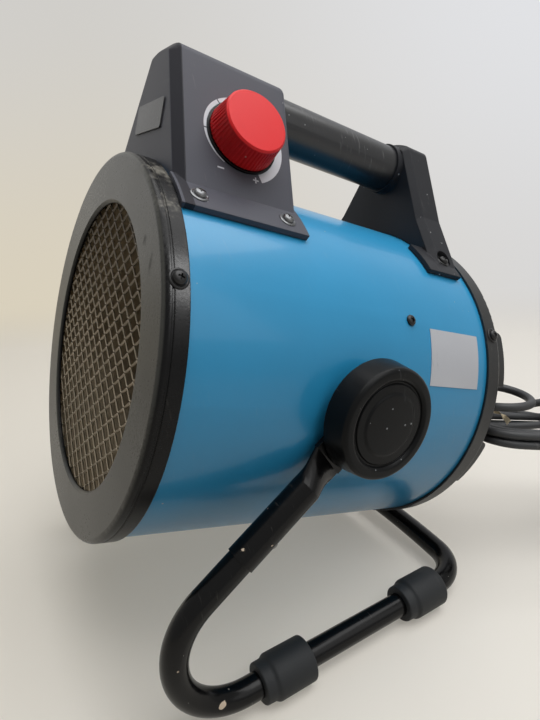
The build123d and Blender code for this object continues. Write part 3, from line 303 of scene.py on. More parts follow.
# from the gland round the loop to the hank's first run
route = [from_tip(*p) for p in ((0, 0, 0), (0, 17.2, 0), (12.8, 29.3, 1.6), (30.3, 29.3, 0.7),
                                (42.6, 17.0, -1.8), (42.4, -0.5, -4.9), (30.2, -12.9, -8.8),
                                (12.7, -13.6, -12.3), (-3.2, -10.9, -16.7),
                                (-12.8, -0.6, -21.4))]
route += [in_hank(first_run, -20.8, 0), in_hank(first_run, -6.0, 0)]
here, level = first_run, 0.0
# each turn's far run, the near run after it, and the layer they lie in
for far_x, near_x, next_level in ((28.1, -21.4, -pitch), (21.4, -14.7, -pitch),
                                  (21.4, -21.4, 0.0), (28.1, -28.1, 0.0)):
    route += [in_hank(here, run_length * t, level + (next_level - level) * rise)
              for t, rise in ((0.3, 0.1), (0.7, 0.9))]
    level = next_level
    route += fold((far_x + here) / 2, run_length, (far_x - here) / 2, level)
    route += [in_hank(far_x, run_length * t, level) for t in (0.7, 0.3)]
    route += fold((far_x + near_x) / 2, 0.0, (near_x - far_x) / 2, level)
    here = near_x
# the end rises out of the hank and into the plug
route += [in_hank(-28.1, 18.0, 0), in_hank(-26.5, 31.0, 7.5), in_hank(-15.0, 44.0, 15.4),
          in_hank(-6.0, 60.0, 15.4)]

cord_line = bpy.data.curves.new("mains_cord", "CURVE")
cord_line.dimensions = "3D"
spline = cord_line.splines.new("NURBS")
spline.points.add(len(route) - 1)
for point, place_on_route in zip(spline.points, route):
    point.co = (*place_on_route, 1.0)
spline.order_u = 3
spline.use_endpoint_u = True
spline.resolution_u = 6
cord_line.bevel_depth = cord_width / 2
cord_line.bevel_resolution = 5
cord_line.use_fill_caps = True
cord_rubber = finish_of(
    "cord rubber", shade(52, 53, 55), 0.5, worn_colour=shade(150, 148, 140), specks=0.05,
    scuffs=0.25, grain_scale=1500.0, grain_height=0.00006)
cord = added("mains_cord", cord_line, cord_rubber, "heater")
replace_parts(cord, "mains_cord_lead", "cord_hank", "mains_cord_tail")

# the paper tie: a crumpled band round the loop and the hank's first fold, and its twisted end
tie_points, tie_faces = [], []
square_corners = ((-1, -1), (1, -1), (1, 1), (-1, 1))
band_radius, band_crumple, band_half_width, band_half_thick = 0.00345, 0.00012, 0.00195, 0.00018
tail_half_width, tail_spread, tail_half_thick, tail_twist = 0.0015, 0.0006, 0.00022, 560.0


def strip(line, sides, half_widths, half_thick, closed):
    """A flat strip of paper along a line, with its edges towards the sides given."""
    first, count = len(tie_points), len(line)
    for k, (middle, side, half_width) in enumerate(zip(line, sides, half_widths)):
        ahead = (line[(k + 1) % count] - line[k - 1] if closed
                 else line[min(k + 1, count - 1)] - line[max(k - 1, 0)])
        flat = ahead.cross(side).normalized()
        tie_points.extend(middle + side * a * half_width + flat * b * half_thick
                          for a, b in square_corners)
    for k in range(count if closed else count - 1):
        ring, ahead_ring = first + 4 * k, first + 4 * ((k + 1) % count)
        tie_faces.extend([ring + c, ring + (c + 1) % 4, ahead_ring + (c + 1) % 4, ahead_ring + c]
                         for c in range(4))
    if not closed:
        last = first + 4 * (count - 1)
        tie_faces.extend([[first, first + 3, first + 2, first + 1],
                          [last, last + 1, last + 2, last + 3]])


# the band turns round the hank's first fold below, and above round the loop where it crosses
low_turn = in_hank(10.98, -25.87, 0)
loop_from, loop_to = route[7], route[8]
high_turn = loop_from + (loop_to - loop_from) * ((loop_from.x - low_turn.x)
                                                 / (loop_from.x - loop_to.x))
band_up = (high_turn - low_turn).normalized()
band_out = Vector((1, 0, 0)).cross(band_up)
band = []
for turn in range(0, 360, 12):
    round_part = band_up * cos(radians(turn)) + band_out * sin(radians(turn))
    band.append((high_turn if cos(radians(turn)) > 0 else low_turn)
                + round_part * (band_radius + band_crumple * sin(radians(turn * 5))))
strip(band, [Vector((1, 0.05 * sin(radians(t * 36)), 0)) for t in range(len(band))],
      [band_half_width] * len(band), band_half_thick, True)
# the twisted end rises a little, and then hangs down past the rear cover's edge
tail_from = Vector((0.0955, 0.1238, 0.1158))
tail_top = tail_from + to_right * 0.0078 + to_top * 0.0036
tail_end = tail_top + to_right * 0.0125 - to_top * 0.0096
tail = (interpolate_bezier(tail_from, tail_from + to_right * 0.002 + to_top * 0.0025,
                           tail_top - to_right * 0.002, tail_top, 12)
        + interpolate_bezier(tail_top, tail_top + to_right * 0.002, tail_end + to_top * 0.004,
                             tail_end, 22)[1:])
twist = [radians(tail_twist * min(1.0, k / 26)) for k in range(len(tail))]
strip(tail, [(to_right * 0.45 + to_top * 0.6).normalized() * cos(a) + to_camera * sin(a)
             for a in twist],
      [tail_half_width + tail_spread * max(0.0, (k - 22) / 11) for k in range(len(tail))],
      tail_half_thick, False)
tie_paper = finish_of(
    "tie paper", shade(232, 216, 184), 0.75, worn_colour=shade(150, 132, 100), mottle=0.25,
    specks=0.08, scuffs=0.5, grain_scale=2500.0, grain_height=0.00008)
tie = added("paper_tie", mesh_of("paper_tie", tie_points, tie_faces), tie_paper, "heater")
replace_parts(tie, "cord_tie")

# ---- drum --------------------------------------------------------------------
# A rolled steel tube, sprayed a glossy petrol blue. Handling has left pale dust
# specks and a few fine scuffs in the paint.
drum_paint = finish_of(
    "drum paint", shade(46, 153, 204), 0.34, specular=0.4, coat=0.3, coat_roughness=0.1,
    worn_colour=shade(170, 185, 190), mottle=0.1, specks=0.03, speck_scale=260.0, scuffs=0.05,
    grain_scale=420.0, grain_height=0.00003, roughness_spread=0.08)
dress(drum_paint, "drum_shell")

# ---- outlet ring and rear cover ----------------------------------------------
# The ring is spun steel, rolled over at its edge and sprayed satin black. Handling has left
# smears of dust on its face. The rear cover is a black moulding. Three screws hold each.
ring_paint = finish_of(
    "ring paint", shade(8, 8, 9), 0.29, specular=0.16,
    worn_colour=shade(140, 136, 126), mottle=0.12, specks=0.04, speck_scale=300.0, scuffs=0.06,
    grain_scale=700.0, grain_height=0.00004, edge=0.0008)
dress(ring_paint, "outlet_ring")


def shaded_along(material, direction, low, high, colour, until=None):
    """Turns a finish towards a colour from low to high, in metres from the pivots, and back
    to its own colour at until."""
    tree, shader, where = parts_of(material)
    reached = maths(tree, "SUBTRACT", reach_along(tree, where, direction), pivot.dot(direction))
    mask = step(tree, reached, low, high)
    if until is not None:
        mask = maths(tree, "MINIMUM", mask, step(tree, reached, until, until + low - high))
    before = shader.inputs["Base Color"].links[0].from_socket
    tree.links.new(blended(tree, mask, before, colour), shader.inputs["Base Color"])


# its front face is painted paler, partly for fine dust and partly as painted sheen standing in for the
# reflection it catches, and two pale smears and two rubbed spots lie on it
shaded_along(ring_paint, rearward, -0.1210, -0.1223, shade(76, 76, 72))
marked(ring_paint, shade(150, 146, 136), 0.5,
       ((0.0465, -0.0794, 0.2834), 0.016, {"Ragged": 1.3, "Soft": 1.6, "Detail Scale": 260.0,
                                           "Stretch": (1.0, 1.0, 1.4)}),
       ((0.0700, -0.0870, 0.2650), 0.009, {"Ragged": 1.2, "Soft": 1.6, "Detail Scale": 420.0}))
marked(ring_paint, shade(8, 8, 9), 0.6,
       ((0.0798, -0.1004, 0.2420), 0.0055, {"Ragged": 0.9, "Soft": 0.9, "Detail Scale": 500.0,
                                            "Stretch": (2.2, 1.0, 0.8)}),
       ((0.0675, -0.0975, 0.2521), 0.0035, {"Ragged": 0.8, "Soft": 0.8, "Detail Scale": 600.0}))
cover_plastic = finish_of(
    "cover plastic", shade(30, 31, 32), 0.42, specular=0.45, worn_colour=shade(120, 118, 112),
    specks=0.06, scuffs=0.2, grain_scale=900.0, grain_height=0.00005, edge=0.0006)
dress(cover_plastic, "rear_cover")

# ---- outlet grille -----------------------------------------------------------
# Expanded steel mesh, discoloured by heat. Each diamond's strands are cut from one sheet
# and twisted as it is stretched, so they stand on edge and their joints catch the light.
diamond_width, diamond_height = 0.0146, 0.0105
strand_half, strand_thick, strand_twist = 0.00062, 0.0003, radians(48.0)
joint_half, bend_out, bend_up = 0.00055, 0.0009, 0.0007


def strand_joint():
    """One joint of the mesh, with half of each of its four strands."""
    points, faces = [], []
    flat = Vector((0, cos(strand_twist), sin(strand_twist)))
    thick = Vector((0, -sin(strand_twist), cos(strand_twist)))
    for side in (-1, 1):
        for rise in (-1, 1):
            line = [Vector((0, rise * joint_half, 0)),
                    Vector((side * bend_out, rise * bend_up, 0)),
                    Vector((side * diamond_width / 4, rise * diamond_height / 4, 0))]
            first = len(points)
            for middle in line:
                points += [middle + flat * a * strand_half + thick * b * strand_thick
                           for a, b in square_corners]
            for ring in (0, 1):
                for k in range(4):
                    corner = [first + 4 * ring + k, first + 4 * ring + (k + 1) % 4,
                              first + 4 * ring + 4 + (k + 1) % 4, first + 4 * ring + 4 + k]
                    faces.append(corner if side > 0 else corner[::-1])
    return in_scene("strand_joint", mesh_of("strand_joint", points, faces))


def close_tree(tree, given, geometry):
    """Ends a geometry tree with real geometry in its finish."""
    real = wire(tree, "GeometryNodeRealizeInstances", {"Geometry": geometry}).outputs[0]
    coated = wire(tree, "GeometryNodeSetMaterial", {"Geometry": real,
                                                    "Material": given["Finish"]}).outputs[0]
    tree.links.new(coated, tree.nodes.new("NodeGroupOutput").inputs[0])


def grown(name, tree, start, values):
    """The plain mesh that a geometry tree makes from a starting mesh."""
    holder = in_scene(name, start)
    modifier = holder.modifiers.new("tree", "NODES")
    modifier.node_group = tree
    for item in tree.interface.items_tree:
        if item.in_out == "INPUT" and item.name in values:
            modifier[item.identifier] = values[item.name]
    bpy.context.view_layer.update()
    ready = holder.evaluated_get(bpy.context.evaluated_depsgraph_get())
    mesh = bpy.data.meshes.new_from_object(ready)
    holder.modifiers.clear()
    bpy.data.objects.remove(holder)
    mesh.name = name
    return mesh


mesh_tree, given = new_group("expanded mesh", "Geometry", (
    ("Geometry", "Geometry"), ("Joint", "Object"), ("Finish", "Material"),
    ("Diamond Width", "Float", diamond_width), ("Diamond Height", "Float", diamond_height),
    ("Shift", "Float", 0.0), ("Radius", "Float", 0.09), ("Place", "Vector", (0, 0, 0)),
    ("Turn", "Vector", (0, 0, 0))), (("Geometry", "Geometry"),))
diamonds_across, diamonds_up = 14, 20
# one grid of joints, and a second one half a diamond up and along
lattice = mesh_tree.nodes.new("GeometryNodeJoinGeometry")
for half in (0.0, 0.5):
    sheet = wire(mesh_tree, "GeometryNodeMeshGrid",
                 {"Size X": maths(mesh_tree, "MULTIPLY", given["Diamond Width"], diamonds_across),
                  "Size Y": maths(mesh_tree, "MULTIPLY", given["Diamond Height"], diamonds_up),
                  "Vertices X": diamonds_across + 1,
                  "Vertices Y": diamonds_up + 1}).outputs["Mesh"]
    shift = wire(mesh_tree, "ShaderNodeCombineXYZ",
                 {"X": maths(mesh_tree, "MULTIPLY_ADD", given["Diamond Width"], half,
                             given["Shift"]),
                  "Y": maths(mesh_tree, "MULTIPLY", given["Diamond Height"], half)}).outputs[0]
    moved = wire(mesh_tree, "GeometryNodeTransform", {"Geometry": sheet, "Translation": shift})
    mesh_tree.links.new(moved.outputs[0], lattice.inputs[0])
from_middle = length_of(mesh_tree, wire(mesh_tree, "GeometryNodeInputPosition").outputs[0])
trimmed = wire(mesh_tree, "GeometryNodeDeleteGeometry",
               {"Geometry": lattice.outputs[0],
                "Selection": maths(mesh_tree, "GREATER_THAN", from_middle, given["Radius"])},
               domain="POINT").outputs[0]
joint = wire(mesh_tree, "GeometryNodeObjectInfo", {"Object": given["Joint"]}).outputs["Geometry"]
joints = wire(mesh_tree, "GeometryNodeInstanceOnPoints",
              {"Points": trimmed, "Instance": joint}).outputs[0]
placed = wire(mesh_tree, "GeometryNodeTransform",
              {"Geometry": joints, "Translation": given["Place"],
               "Rotation": given["Turn"]}).outputs[0]
close_tree(mesh_tree, given, placed)

grille_steel = finish_of(
    "grille steel", shade(150, 138, 118), 0.4, metallic=0.5, worn_colour=shade(190, 184, 170),
    mottle=0.3, specks=0.1, speck_scale=500.0, scuffs=0.5, grain_scale=1300.0,
    grain_height=0.00005)
# it is darker towards its top
shaded_along(grille_steel, upward, -0.01, 0.085, shade(88, 80, 68))
facing_forwards = Matrix((Vector((1, 0, 0)), upward, -rearward)).transposed()
one_joint = strand_joint()
grille_mesh = grown("grille", mesh_tree, bpy.data.meshes.new("start"),
                    {"Joint": one_joint, "Finish": grille_steel, "Diamond Width": diamond_width,
                     "Diamond Height": diamond_height, "Shift": 0.0018, "Radius": 0.0915,
                     "Place": spot(0, -119.1, 0), "Turn": facing_forwards.to_euler()})
bpy.data.objects.remove(one_joint)


def turned_shape(profile, base, direction, steps=96, low=None):
    """Points and faces of a profile of (height, radius) in mm turned round a direction."""
    side = direction.orthogonal().normalized()
    other = direction.cross(side)
    points, faces = [], []
    for height, radius in profile:
        for k in range(steps if radius > 0 else 1):
            angle = 2 * pi * k / steps
            point = base + (direction * height
                            + (side * cos(angle) + other * sin(angle)) * radius) / 1000
            if low is not None:
                point.z = max(point.z, low)
            points.append(point)
    start = 0
    for (_, radius), (_, next_radius) in zip(profile, profile[1:]):
        count = steps if radius > 0 else 1
        following = start + count
        for k in range(steps):
            here = [start + k, start + (k + 1) % steps] if radius > 0 else [start]
            there = ([following + (k + 1) % steps, following + k] if next_radius > 0
                     else [following])
            faces.append(here + there)
        start = following
    return points, faces


def rounded(profile, radius, steps=4):
    """The profile with its corners rounded by a radius, where the runs have room."""
    line = [profile[0]]
    for before, corner, after in zip(profile, profile[1:], profile[2:]):
        runs = [Vector(p) - Vector(corner) for p in (before, after)]
        reach = min(radius, runs[0].length * 0.45, runs[1].length * 0.45)
        first, last = (Vector(corner) + r.normalized() * reach for r in runs)
        for k in range(steps + 1):
            t = k / steps
            line.append(tuple(first * (1 - t) ** 2 + Vector(corner) * 2 * t * (1 - t)
                              + last * t ** 2))
    return line + [profile[-1]]


def turned_mesh(name, points, faces):
    """A smooth mesh of a turned shape's points and faces."""
    mesh = mesh_of(name, points, faces)
    mesh.polygons.foreach_set("use_smooth", [True] * len(mesh.polygons))
    mesh.set_sharp_from_angle(angle=radians(50))
    return mesh


# the flat rim that holds the mesh behind the ring
rim_inner, rim_outer, rim_thick = 91.0, 101.0, 1.2
rim_points, rim_faces = turned_shape(
    [(0, rim_inner), (0, rim_outer), (rim_thick, rim_outer), (rim_thick, rim_inner),
     (0, rim_inner)], spot(0, -119.9, 0), rearward)
rim_start = len(grille_mesh.vertices)
grille_points = [tuple(v.co) for v in grille_mesh.vertices] + rim_points
grille_faces = [list(p.vertices) for p in grille_mesh.polygons]
grille_faces += [[rim_start + i for i in face] for face in rim_faces]
grille = added("grille", mesh_of("grille", grille_points, grille_faces), grille_steel,
               "heater")
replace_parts(grille, "outlet_grille")

# ---- inside the drum ---------------------------------------------------------
# Behind the mesh sit the heat-browned steel duct, three tubular heating rings on their
# holder, and the fan on its motor. They are dim, dusty and stained by heat.
bright_sheet = finish_of(
    "bright sheet", shade(190, 174, 148), 0.55, metallic=0.3, worn_colour=shade(150, 130, 100),
    mottle=0.35, specks=0.1, scuffs=0.3)
dress(bright_sheet, "inner_duct", "element_holder", "motor_bracket")
element_sheath = finish_of(
    "element sheath", shade(70, 58, 48), 0.6, metallic=0.4, worn_colour=shade(140, 110, 80),
    mottle=0.35, specks=0.2, scuffs=0.2, grain_scale=1800.0)
dress(element_sheath, "heating_ring_1", "heating_ring_2", "heating_ring_3")
motor_metal = finish_of(
    "motor metal", shade(90, 90, 90), 0.45, metallic=0.8, worn_colour=shade(120, 115, 105),
    mottle=0.2, specks=0.15)
dress(motor_metal, "fan_motor", "motor_shaft")
fan_metal = finish_of(
    "fan metal", shade(120, 118, 112), 0.45, metallic=0.7, worn_colour=shade(110, 104, 94),
    mottle=0.25, specks=0.15)
dress(fan_metal, "impeller")
block_plastic = finish_of("block plastic", shade(205, 200, 185), 0.5, specks=0.05)
dress(block_plastic, "terminal_block", "thermostat_switch")
copper = finish_of("copper", shade(150, 100, 70), 0.35, metallic=0.9, mottle=0.25)
dress(copper, "thermal_cutout", "thermostat_bulb")

# ---- control box and rear pillar ---------------------------------------------
# Two mouldings of dark grey plastic with a fine eroded texture, screwed to the drum by
# their side flanges. The box is bare but for its badge and the dial's printed scale.
box_plastic = finish_of(
    "box plastic", shade(86, 87, 95), 0.46, specular=0.16, worn_colour=shade(165, 165, 168),
    mottle=0.06, specks=0.05, speck_scale=280.0, scuffs=0.1, grain_scale=1700.0,
    grain_height=0.00006, roughness_spread=0.1, edge=0.0009)
dress(box_plastic, "control_box")
# its chamfers are painted darker: painted shade, for the dim side of the room they face
shaded_along(box_plastic, rearward, -0.1084, -0.1080, shade(42, 42, 48), until=-0.1028)
pillar_plastic = finish_of(
    "pillar plastic", shade(38, 39, 43), 0.45, specular=0.18, worn_colour=shade(175, 175, 176),
    mottle=0.1, specks=0.16, speck_scale=240.0, scuffs=0.15, grain_scale=1500.0,
    grain_height=0.00006, edge=0.0009)
dress(pillar_plastic, "rear_pillar")
badge_plastic = finish_of(
    "badge plastic", shade(72, 73, 75), 0.38, metallic=0.3, worn_colour=shade(150, 150, 150),
    mottle=0.1, specks=0.04, scuffs=0.3, grain_scale=800.0, edge=0.0005)
dress(badge_plastic, "front_badge")

# The scale is one white arc that widens clockwise, with gaps at its marks, and a minus
# and a plus sign. It is printed on the sloping side round the dial.
lean = radians(28.5)
slope_normal = way(cos(lean), 0, sin(lean))
slope_up = way(-sin(lean), 0, cos(lean))
dial_middle = spot(55.0, -68.8, 101.0) + slope_up * 0.0343
print_lift = 0.04


def on_slope(along_drum, up_slope, lift=print_lift):
    """A point of the dial's face plane, in mm from the dial's middle."""
    return dial_middle + (rearward * along_drum + slope_up * up_slope
                          + slope_normal * lift) / 1000


scale_start, scale_inner, scale_outer, scale_widening, widest_at = -122.6, 21.6, 22.1, 4.5, 235.0
scale_gaps, bar_long, bar_short, bar_half = (54, 110, 166, 222), 2.0, 1.8, 0.45
scale_points, scale_faces = [], []
swept = [k * 2.0 for k in range(152)]
for angle, next_angle in zip(swept, swept[1:]):
    if any(gap <= angle < gap + 2 for gap in scale_gaps):
        continue
    ends = []
    for turn in (angle, next_angle):
        outer = scale_outer + scale_widening * min(1.0, turn / widest_at)
        bearing = radians(scale_start - turn)
        ends.append([on_slope(r * cos(bearing), r * sin(bearing)) for r in (scale_inner, outer)])
    first = len(scale_points)
    scale_points += [ends[0][0], ends[0][1], ends[1][1], ends[1][0]]
    scale_faces.append([first, first + 1, first + 2, first + 3])
for x, y, bars in ((-14.2, -22.6, ((bar_long, bar_half),)),
                   (7.3, -23.6, ((bar_short, bar_half), (bar_half, bar_short)))):
    for half_x, half_y in bars:
        first = len(scale_points)
        scale_points += [on_slope(x + a * half_x, y + b * half_y, print_lift + 0.005 * len(bars))
                         for a, b in square_corners]
        scale_faces.append([first, first + 1, first + 2, first + 3])
white_print = finish_of("white print", shade(205, 208, 214), 0.5, mottle=0.08, specks=0.02,
                        worn_colour=shade(120, 120, 124), scuffs=0.25)
added("dial_scale", mesh_of("dial_scale", scale_points, scale_faces), white_print, "heater")

# ---- dial --------------------------------------------------------------------
# A knob moulded in red plastic, with a fluted side and a satin face. It stands on a thin
# black base ring.
dial_plastic = finish_of(
    "dial plastic", shade(238, 36, 40), 0.38, specular=0.3,
    worn_colour=shade(230, 150, 145), mottle=0.04, specks=0.025, speck_scale=200.0, scuffs=0.05,
    grain_scale=1200.0, grain_height=0.00003, edge=0.0005)
dress(dial_plastic, "control_dial")

# ---- stand -------------------------------------------------------------------
# Two steel tube arms, flattened where they hold the heater, stand on a lower frame bent from
# thinner tube. All are sprayed glossy black, and pale splashes and chips mark the right arm.
# The dial's base ring has the same black.
black_paint = finish_of(
    "black paint", shade(9, 9, 10), 0.22, specular=0.16, coat=0.1,
    worn_colour=shade(120, 118, 112), mottle=0.2, specks=0.035, speck_scale=300.0, scuffs=0.12,
    grain_scale=500.0, grain_height=0.00004, edge=0.0005)
dress(black_paint, "dial_bezel", "right_arm", "left_arm", "lower_frame")
marked(black_paint, shade(226, 206, 182), 1.0,
       ((0.1224, -0.1000, 0.0208), 0.0024, {"Ragged": 0.35, "Stretch": (1.0, 1.0, 1.3)}),
       ((0.1212, -0.0858, 0.1030), 0.0006, {"Ragged": 0.5}),
       ((0.1196, -0.0820, 0.1072), 0.0008, {"Ragged": 0.9, "Detail Scale": 2500.0}),
       ((0.1231, -0.1214, 0.0578), 0.0005, {"Ragged": 0.6}),
       ((0.1241, -0.0680, 0.1062), 0.0006, {"Ragged": 0.7}))

# ---- handle ------------------------------------------------------------------
# A plain black plastic tube, held between the box and the pillar. It is worn by hands, and
# dust has settled on it.
handle_plastic = finish_of(
    "handle plastic", shade(26, 27, 30), 0.34, specular=0.6, worn_colour=shade(150, 150, 150),
    mottle=0.15, specks=0.12, speck_scale=260.0, scuffs=0.3, grain_scale=1300.0,
    grain_height=0.00005)
dress(handle_plastic, "handle_tube")

# ---- label -------------------------------------------------------------------
# A silver film label, stuck to the drum's side near the back. It is bare, and a little
# scuffed.
label_film = finish_of(
    "label film", shade(204, 206, 212), 0.35, metallic=0.35, worn_colour=shade(110, 112, 116),
    mottle=0.08, specks=0.03, scuffs=0.35, grain_scale=300.0, grain_height=0.00003)
dress(label_film, "rating_label")

# ---- screws ------------------------------------------------------------------
# Pan head screws with a cross recess. Those of the covers and mouldings sit on dished
# washers. The box's and the frame's are bright, and the rest are black.
shank_radius, shank_low, washer_lift, cross_reach, cross_half = 1.9, -7.0, 0.8, 2.1, 0.42


def cross_head(name, washer):
    """A pan head screw standing on the origin, with its shank below and its cross recess."""
    lift = washer_lift if washer else 0.0
    head = [(shank_low, 0.0), (shank_low, shank_radius), (0.0, shank_radius)]
    if washer:
        head += [(0.0, 5.0), (0.35, 5.0), (washer_lift, 4.2), (0.5, 3.7), (0.5, 3.45)]
    head += [(lift, 3.4), (lift + 0.9, 3.4), (lift + 1.8, 2.6), (lift + 2.2, 1.2),
             (lift + 2.25, 0.0)]
    mesh = turned_mesh(name, *turned_shape(rounded(head, 0.35, 2), Vector(),
                                           Vector((0, 0, 1)), 32))
    corners, sides = [], []
    for long_x, long_y in ((cross_reach, cross_half), (cross_half, cross_reach)):
        first = len(corners)
        corners += [Vector((x * long_x * t, y * long_y, z)) / 1000 if long_x > long_y
                    else Vector((x * long_x, y * long_y * t, z)) / 1000
                    for z, t in ((lift + 0.8, 0.45), (lift + 3.0, 1.0))
                    for x, y in square_corners]
        sides += [[first + i for i in face] for face in
                  ((3, 2, 1, 0), (4, 5, 6, 7), (0, 1, 5, 4), (1, 2, 6, 5), (2, 3, 7, 6),
                   (3, 0, 4, 7))]
    screw, cutter = in_scene(name, mesh), in_scene("cross", mesh_of("cross", corners, sides))
    recess = screw.modifiers.new("recess", "BOOLEAN")
    recess.operation, recess.object, recess.solver = "DIFFERENCE", cutter, "EXACT"
    recess.use_self = True
    bpy.context.view_layer.update()
    screw.data = bpy.data.meshes.new_from_object(
        screw.evaluated_get(bpy.context.evaluated_depsgraph_get()))
    screw.modifiers.clear()
    bpy.data.objects.remove(cutter)
    return screw


seat_tree, given = new_group("screws on seats", "Geometry", (
    ("Geometry", "Geometry"), ("Screw", "Object"), ("Finish", "Material")),
    (("Geometry", "Geometry"),))
outwards = wire(seat_tree, "GeometryNodeInputNamedAttribute", {"Name": "out"},
                data_type="FLOAT_VECTOR").outputs[0]
stood = wire(seat_tree, "FunctionNodeAlignRotationToVector", {"Vector": outwards}, axis="Z")
turn = wire(seat_tree, "FunctionNodeRandomValue", {"Max": 1.5, "Seed": 7}).outputs["Value"]
spun = wire(seat_tree, "FunctionNodeRotateRotation",
            {"Rotation": stood.outputs[0],
             "Rotate By": wire(seat_tree, "FunctionNodeEulerToRotation", {
                 "Euler": wire(seat_tree, "ShaderNodeCombineXYZ", {"Z": turn}).outputs[0]
             }).outputs[0]}, rotation_space="LOCAL").outputs[0]
screw_shape = wire(seat_tree, "GeometryNodeObjectInfo", {"Object": given["Screw"]})
driven = wire(seat_tree, "GeometryNodeInstanceOnPoints",
              {"Points": given["Geometry"], "Instance": screw_shape.outputs["Geometry"],
               "Rotation": spun}).outputs[0]
close_tree(seat_tree, given, driven)

# where the screws sit: angles round the drum, distances from its middle, and the arms' ends
drum_radius, cover_radius, flange_radius = 110.0, 111.8, 113.6
cover_angles = (28.5, 148.5, 268.5)
arm_slope, arm_x, screw_along, screw_under = radians(33.7), 0.116, 0.084, 0.0081
arm_way = Vector((0, -cos(arm_slope), -sin(arm_slope)))
arm_under = Vector((0, sin(arm_slope), -cos(arm_slope)))


def drum_seats(angles, radius, depths):
    """Places and outward directions on the drum."""
    return [(spot(radius * cos(radians(a)), d, radius * sin(radians(a))),
             way(cos(radians(a)), 0, sin(radians(a)))) for a in angles for d in depths]


black_screw = finish_of("black screw", shade(26, 26, 27), 0.35, metallic=0.3,
                        worn_colour=shade(150, 148, 144), specks=0.15, speck_scale=700.0,
                        scuffs=0.4)
bright_screw = finish_of("bright screw", shade(116, 117, 119), 0.3, metallic=0.9,
                         worn_colour=shade(90, 88, 84), specks=0.2, speck_scale=700.0,
                         mottle=0.2, scuffs=0.5)
screws = {
    "outlet_ring_screws": ("heater", black_screw, True,
                           drum_seats(cover_angles, cover_radius, (-115.5,))),
    "rear_cover_screws": ("heater", black_screw, True,
                          drum_seats(cover_angles, cover_radius, (111.6,))),
    "drum_screws": ("heater", black_screw, False,
                    drum_seats((29, 151, 270), drum_radius, (33.1,))),
    "control_box_screws": ("heater", bright_screw, True,
                           drum_seats((55, 125), flange_radius, (-98.8, -46.0))),
    "pillar_screws": ("heater", black_screw, True,
                      drum_seats((57, 123), flange_radius, (87.5,))),
    "frame_screws": ("stand", bright_screw, False,
                     [(pivot + Vector((side * arm_x, 0, 0)) + arm_way * screw_along
                       + arm_under * screw_under, arm_under) for side in (1, -1)])}
for name, (body, finish, washer, seats) in screws.items():
    driver = cross_head("screw_shape", washer)
    start = mesh_of("seats", [seat for seat, _ in seats], [])
    directions = start.attributes.new("out", "FLOAT_VECTOR", "POINT")
    for item, (_, out_way) in zip(directions.data, seats):
        item.vector = out_way
    screw_mesh = grown(name + "_turned", seat_tree, start, {"Screw": driver, "Finish": finish})
    bpy.data.objects.remove(driver)
    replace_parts(added(name + "_turned", screw_mesh, None, body), name)

# ---- pivots and clamp knobs --------------------------------------------------
# On each side a pad on the drum carries a stud, and a moulded black knob clamps the arm.
# The knob's face is dished, with one groove and a raised disc in its middle.
knob_plastic = finish_of(
    "knob plastic", shade(18, 19, 20), 0.32, specular=0.12, worn_colour=shade(165, 168, 170),
    mottle=0.1, specks=0.07, speck_scale=230.0, scuffs=0.08, grain_scale=1500.0,
    grain_height=0.00004)
zinc_steel = finish_of("zinc steel", shade(150, 150, 148), 0.35, metallic=0.9, mottle=0.15,
                       specks=0.05)
dress(zinc_steel, "pivot_stud_right", "pivot_stud_left")
dress(black_paint, "pivot_pad_right", "pivot_pad_left")
knob_seat = 0.11485
knob_profile = [(12.3, 0.0), (12.3, 4.1), (0.0, 4.1), (0.0, 31.8), (1.2, 32.6), (14.6, 30.9),
                (16.2, 29.3), (16.2, 25.2), (15.0, 23.9), (13.9, 23.6), (13.9, 22.4),
                (15.0, 22.1), (15.0, 17.6), (15.8, 16.4), (15.8, 0.0)]
for side, side_name in ((1, "right"), (-1, "left")):
    knob = turned_mesh("knob_" + side_name,
                       *turned_shape(rounded(knob_profile, 1.0, 5),
                                     pivot + Vector((side * knob_seat, 0, 0)),
                                     Vector((side, 0, 0)), 128))
    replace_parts(added("knob_" + side_name, knob, knob_plastic, "knob_" + side_name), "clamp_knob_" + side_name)

# ---- foot sleeves ------------------------------------------------------------
# Four rubber sleeves pushed over the lower frame, each with a narrower front end and a
# worn flat underneath.
foot_rubber = finish_of(
    "foot rubber", shade(38, 40, 42), 0.6, specular=0.35, worn_colour=shade(110, 110, 108),
    mottle=0.15, specks=0.06, scuffs=0.15, grain_scale=1100.0, grain_height=0.00012)
sleeve_profile = [(0, 7.25), (0, 11.2), (6.2, 11.4), (8.0, 12.9), (32.0, 12.9), (32.0, 7.25),
                  (0, 7.25)]
frame_x, frame_z = 116.0, -141.8
for side, side_name in ((1, "right"), (-1, "left")):
    for start_y, end_name in ((-77.0, "front"), (29.0, "rear")):
        at = pivot + Vector((side * frame_x, start_y, frame_z)) / 1000
        name = f"sleeve_{side_name}_{end_name}"
        sleeve = turned_mesh(name, *turned_shape(rounded(sleeve_profile, 1.1), at,
                                                 Vector((0, 1, 0)), 64, low=0.0))
        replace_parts(added(name, sleeve, foot_rubber, "stand"),
                    f"foot_{name}")

# ---- gland and plug ----------------------------------------------------------
# The cord leaves through a rubber gland that tapers to it, and ends in a moulded plug with
# three flat pins.
plug_rubber = finish_of(
    "plug rubber", shade(34, 34, 36), 0.5, worn_colour=shade(120, 118, 112), specks=0.05,
    scuffs=0.2, grain_scale=1200.0, edge=0.0008)
dress(plug_rubber, "cord_gland", "mains_plug")
pin_brass = finish_of("pin brass", shade(196, 170, 110), 0.28, metallic=0.95,
                      worn_colour=shade(120, 100, 60), mottle=0.12, scuffs=0.5)
dress(pin_brass, "plug_pins")

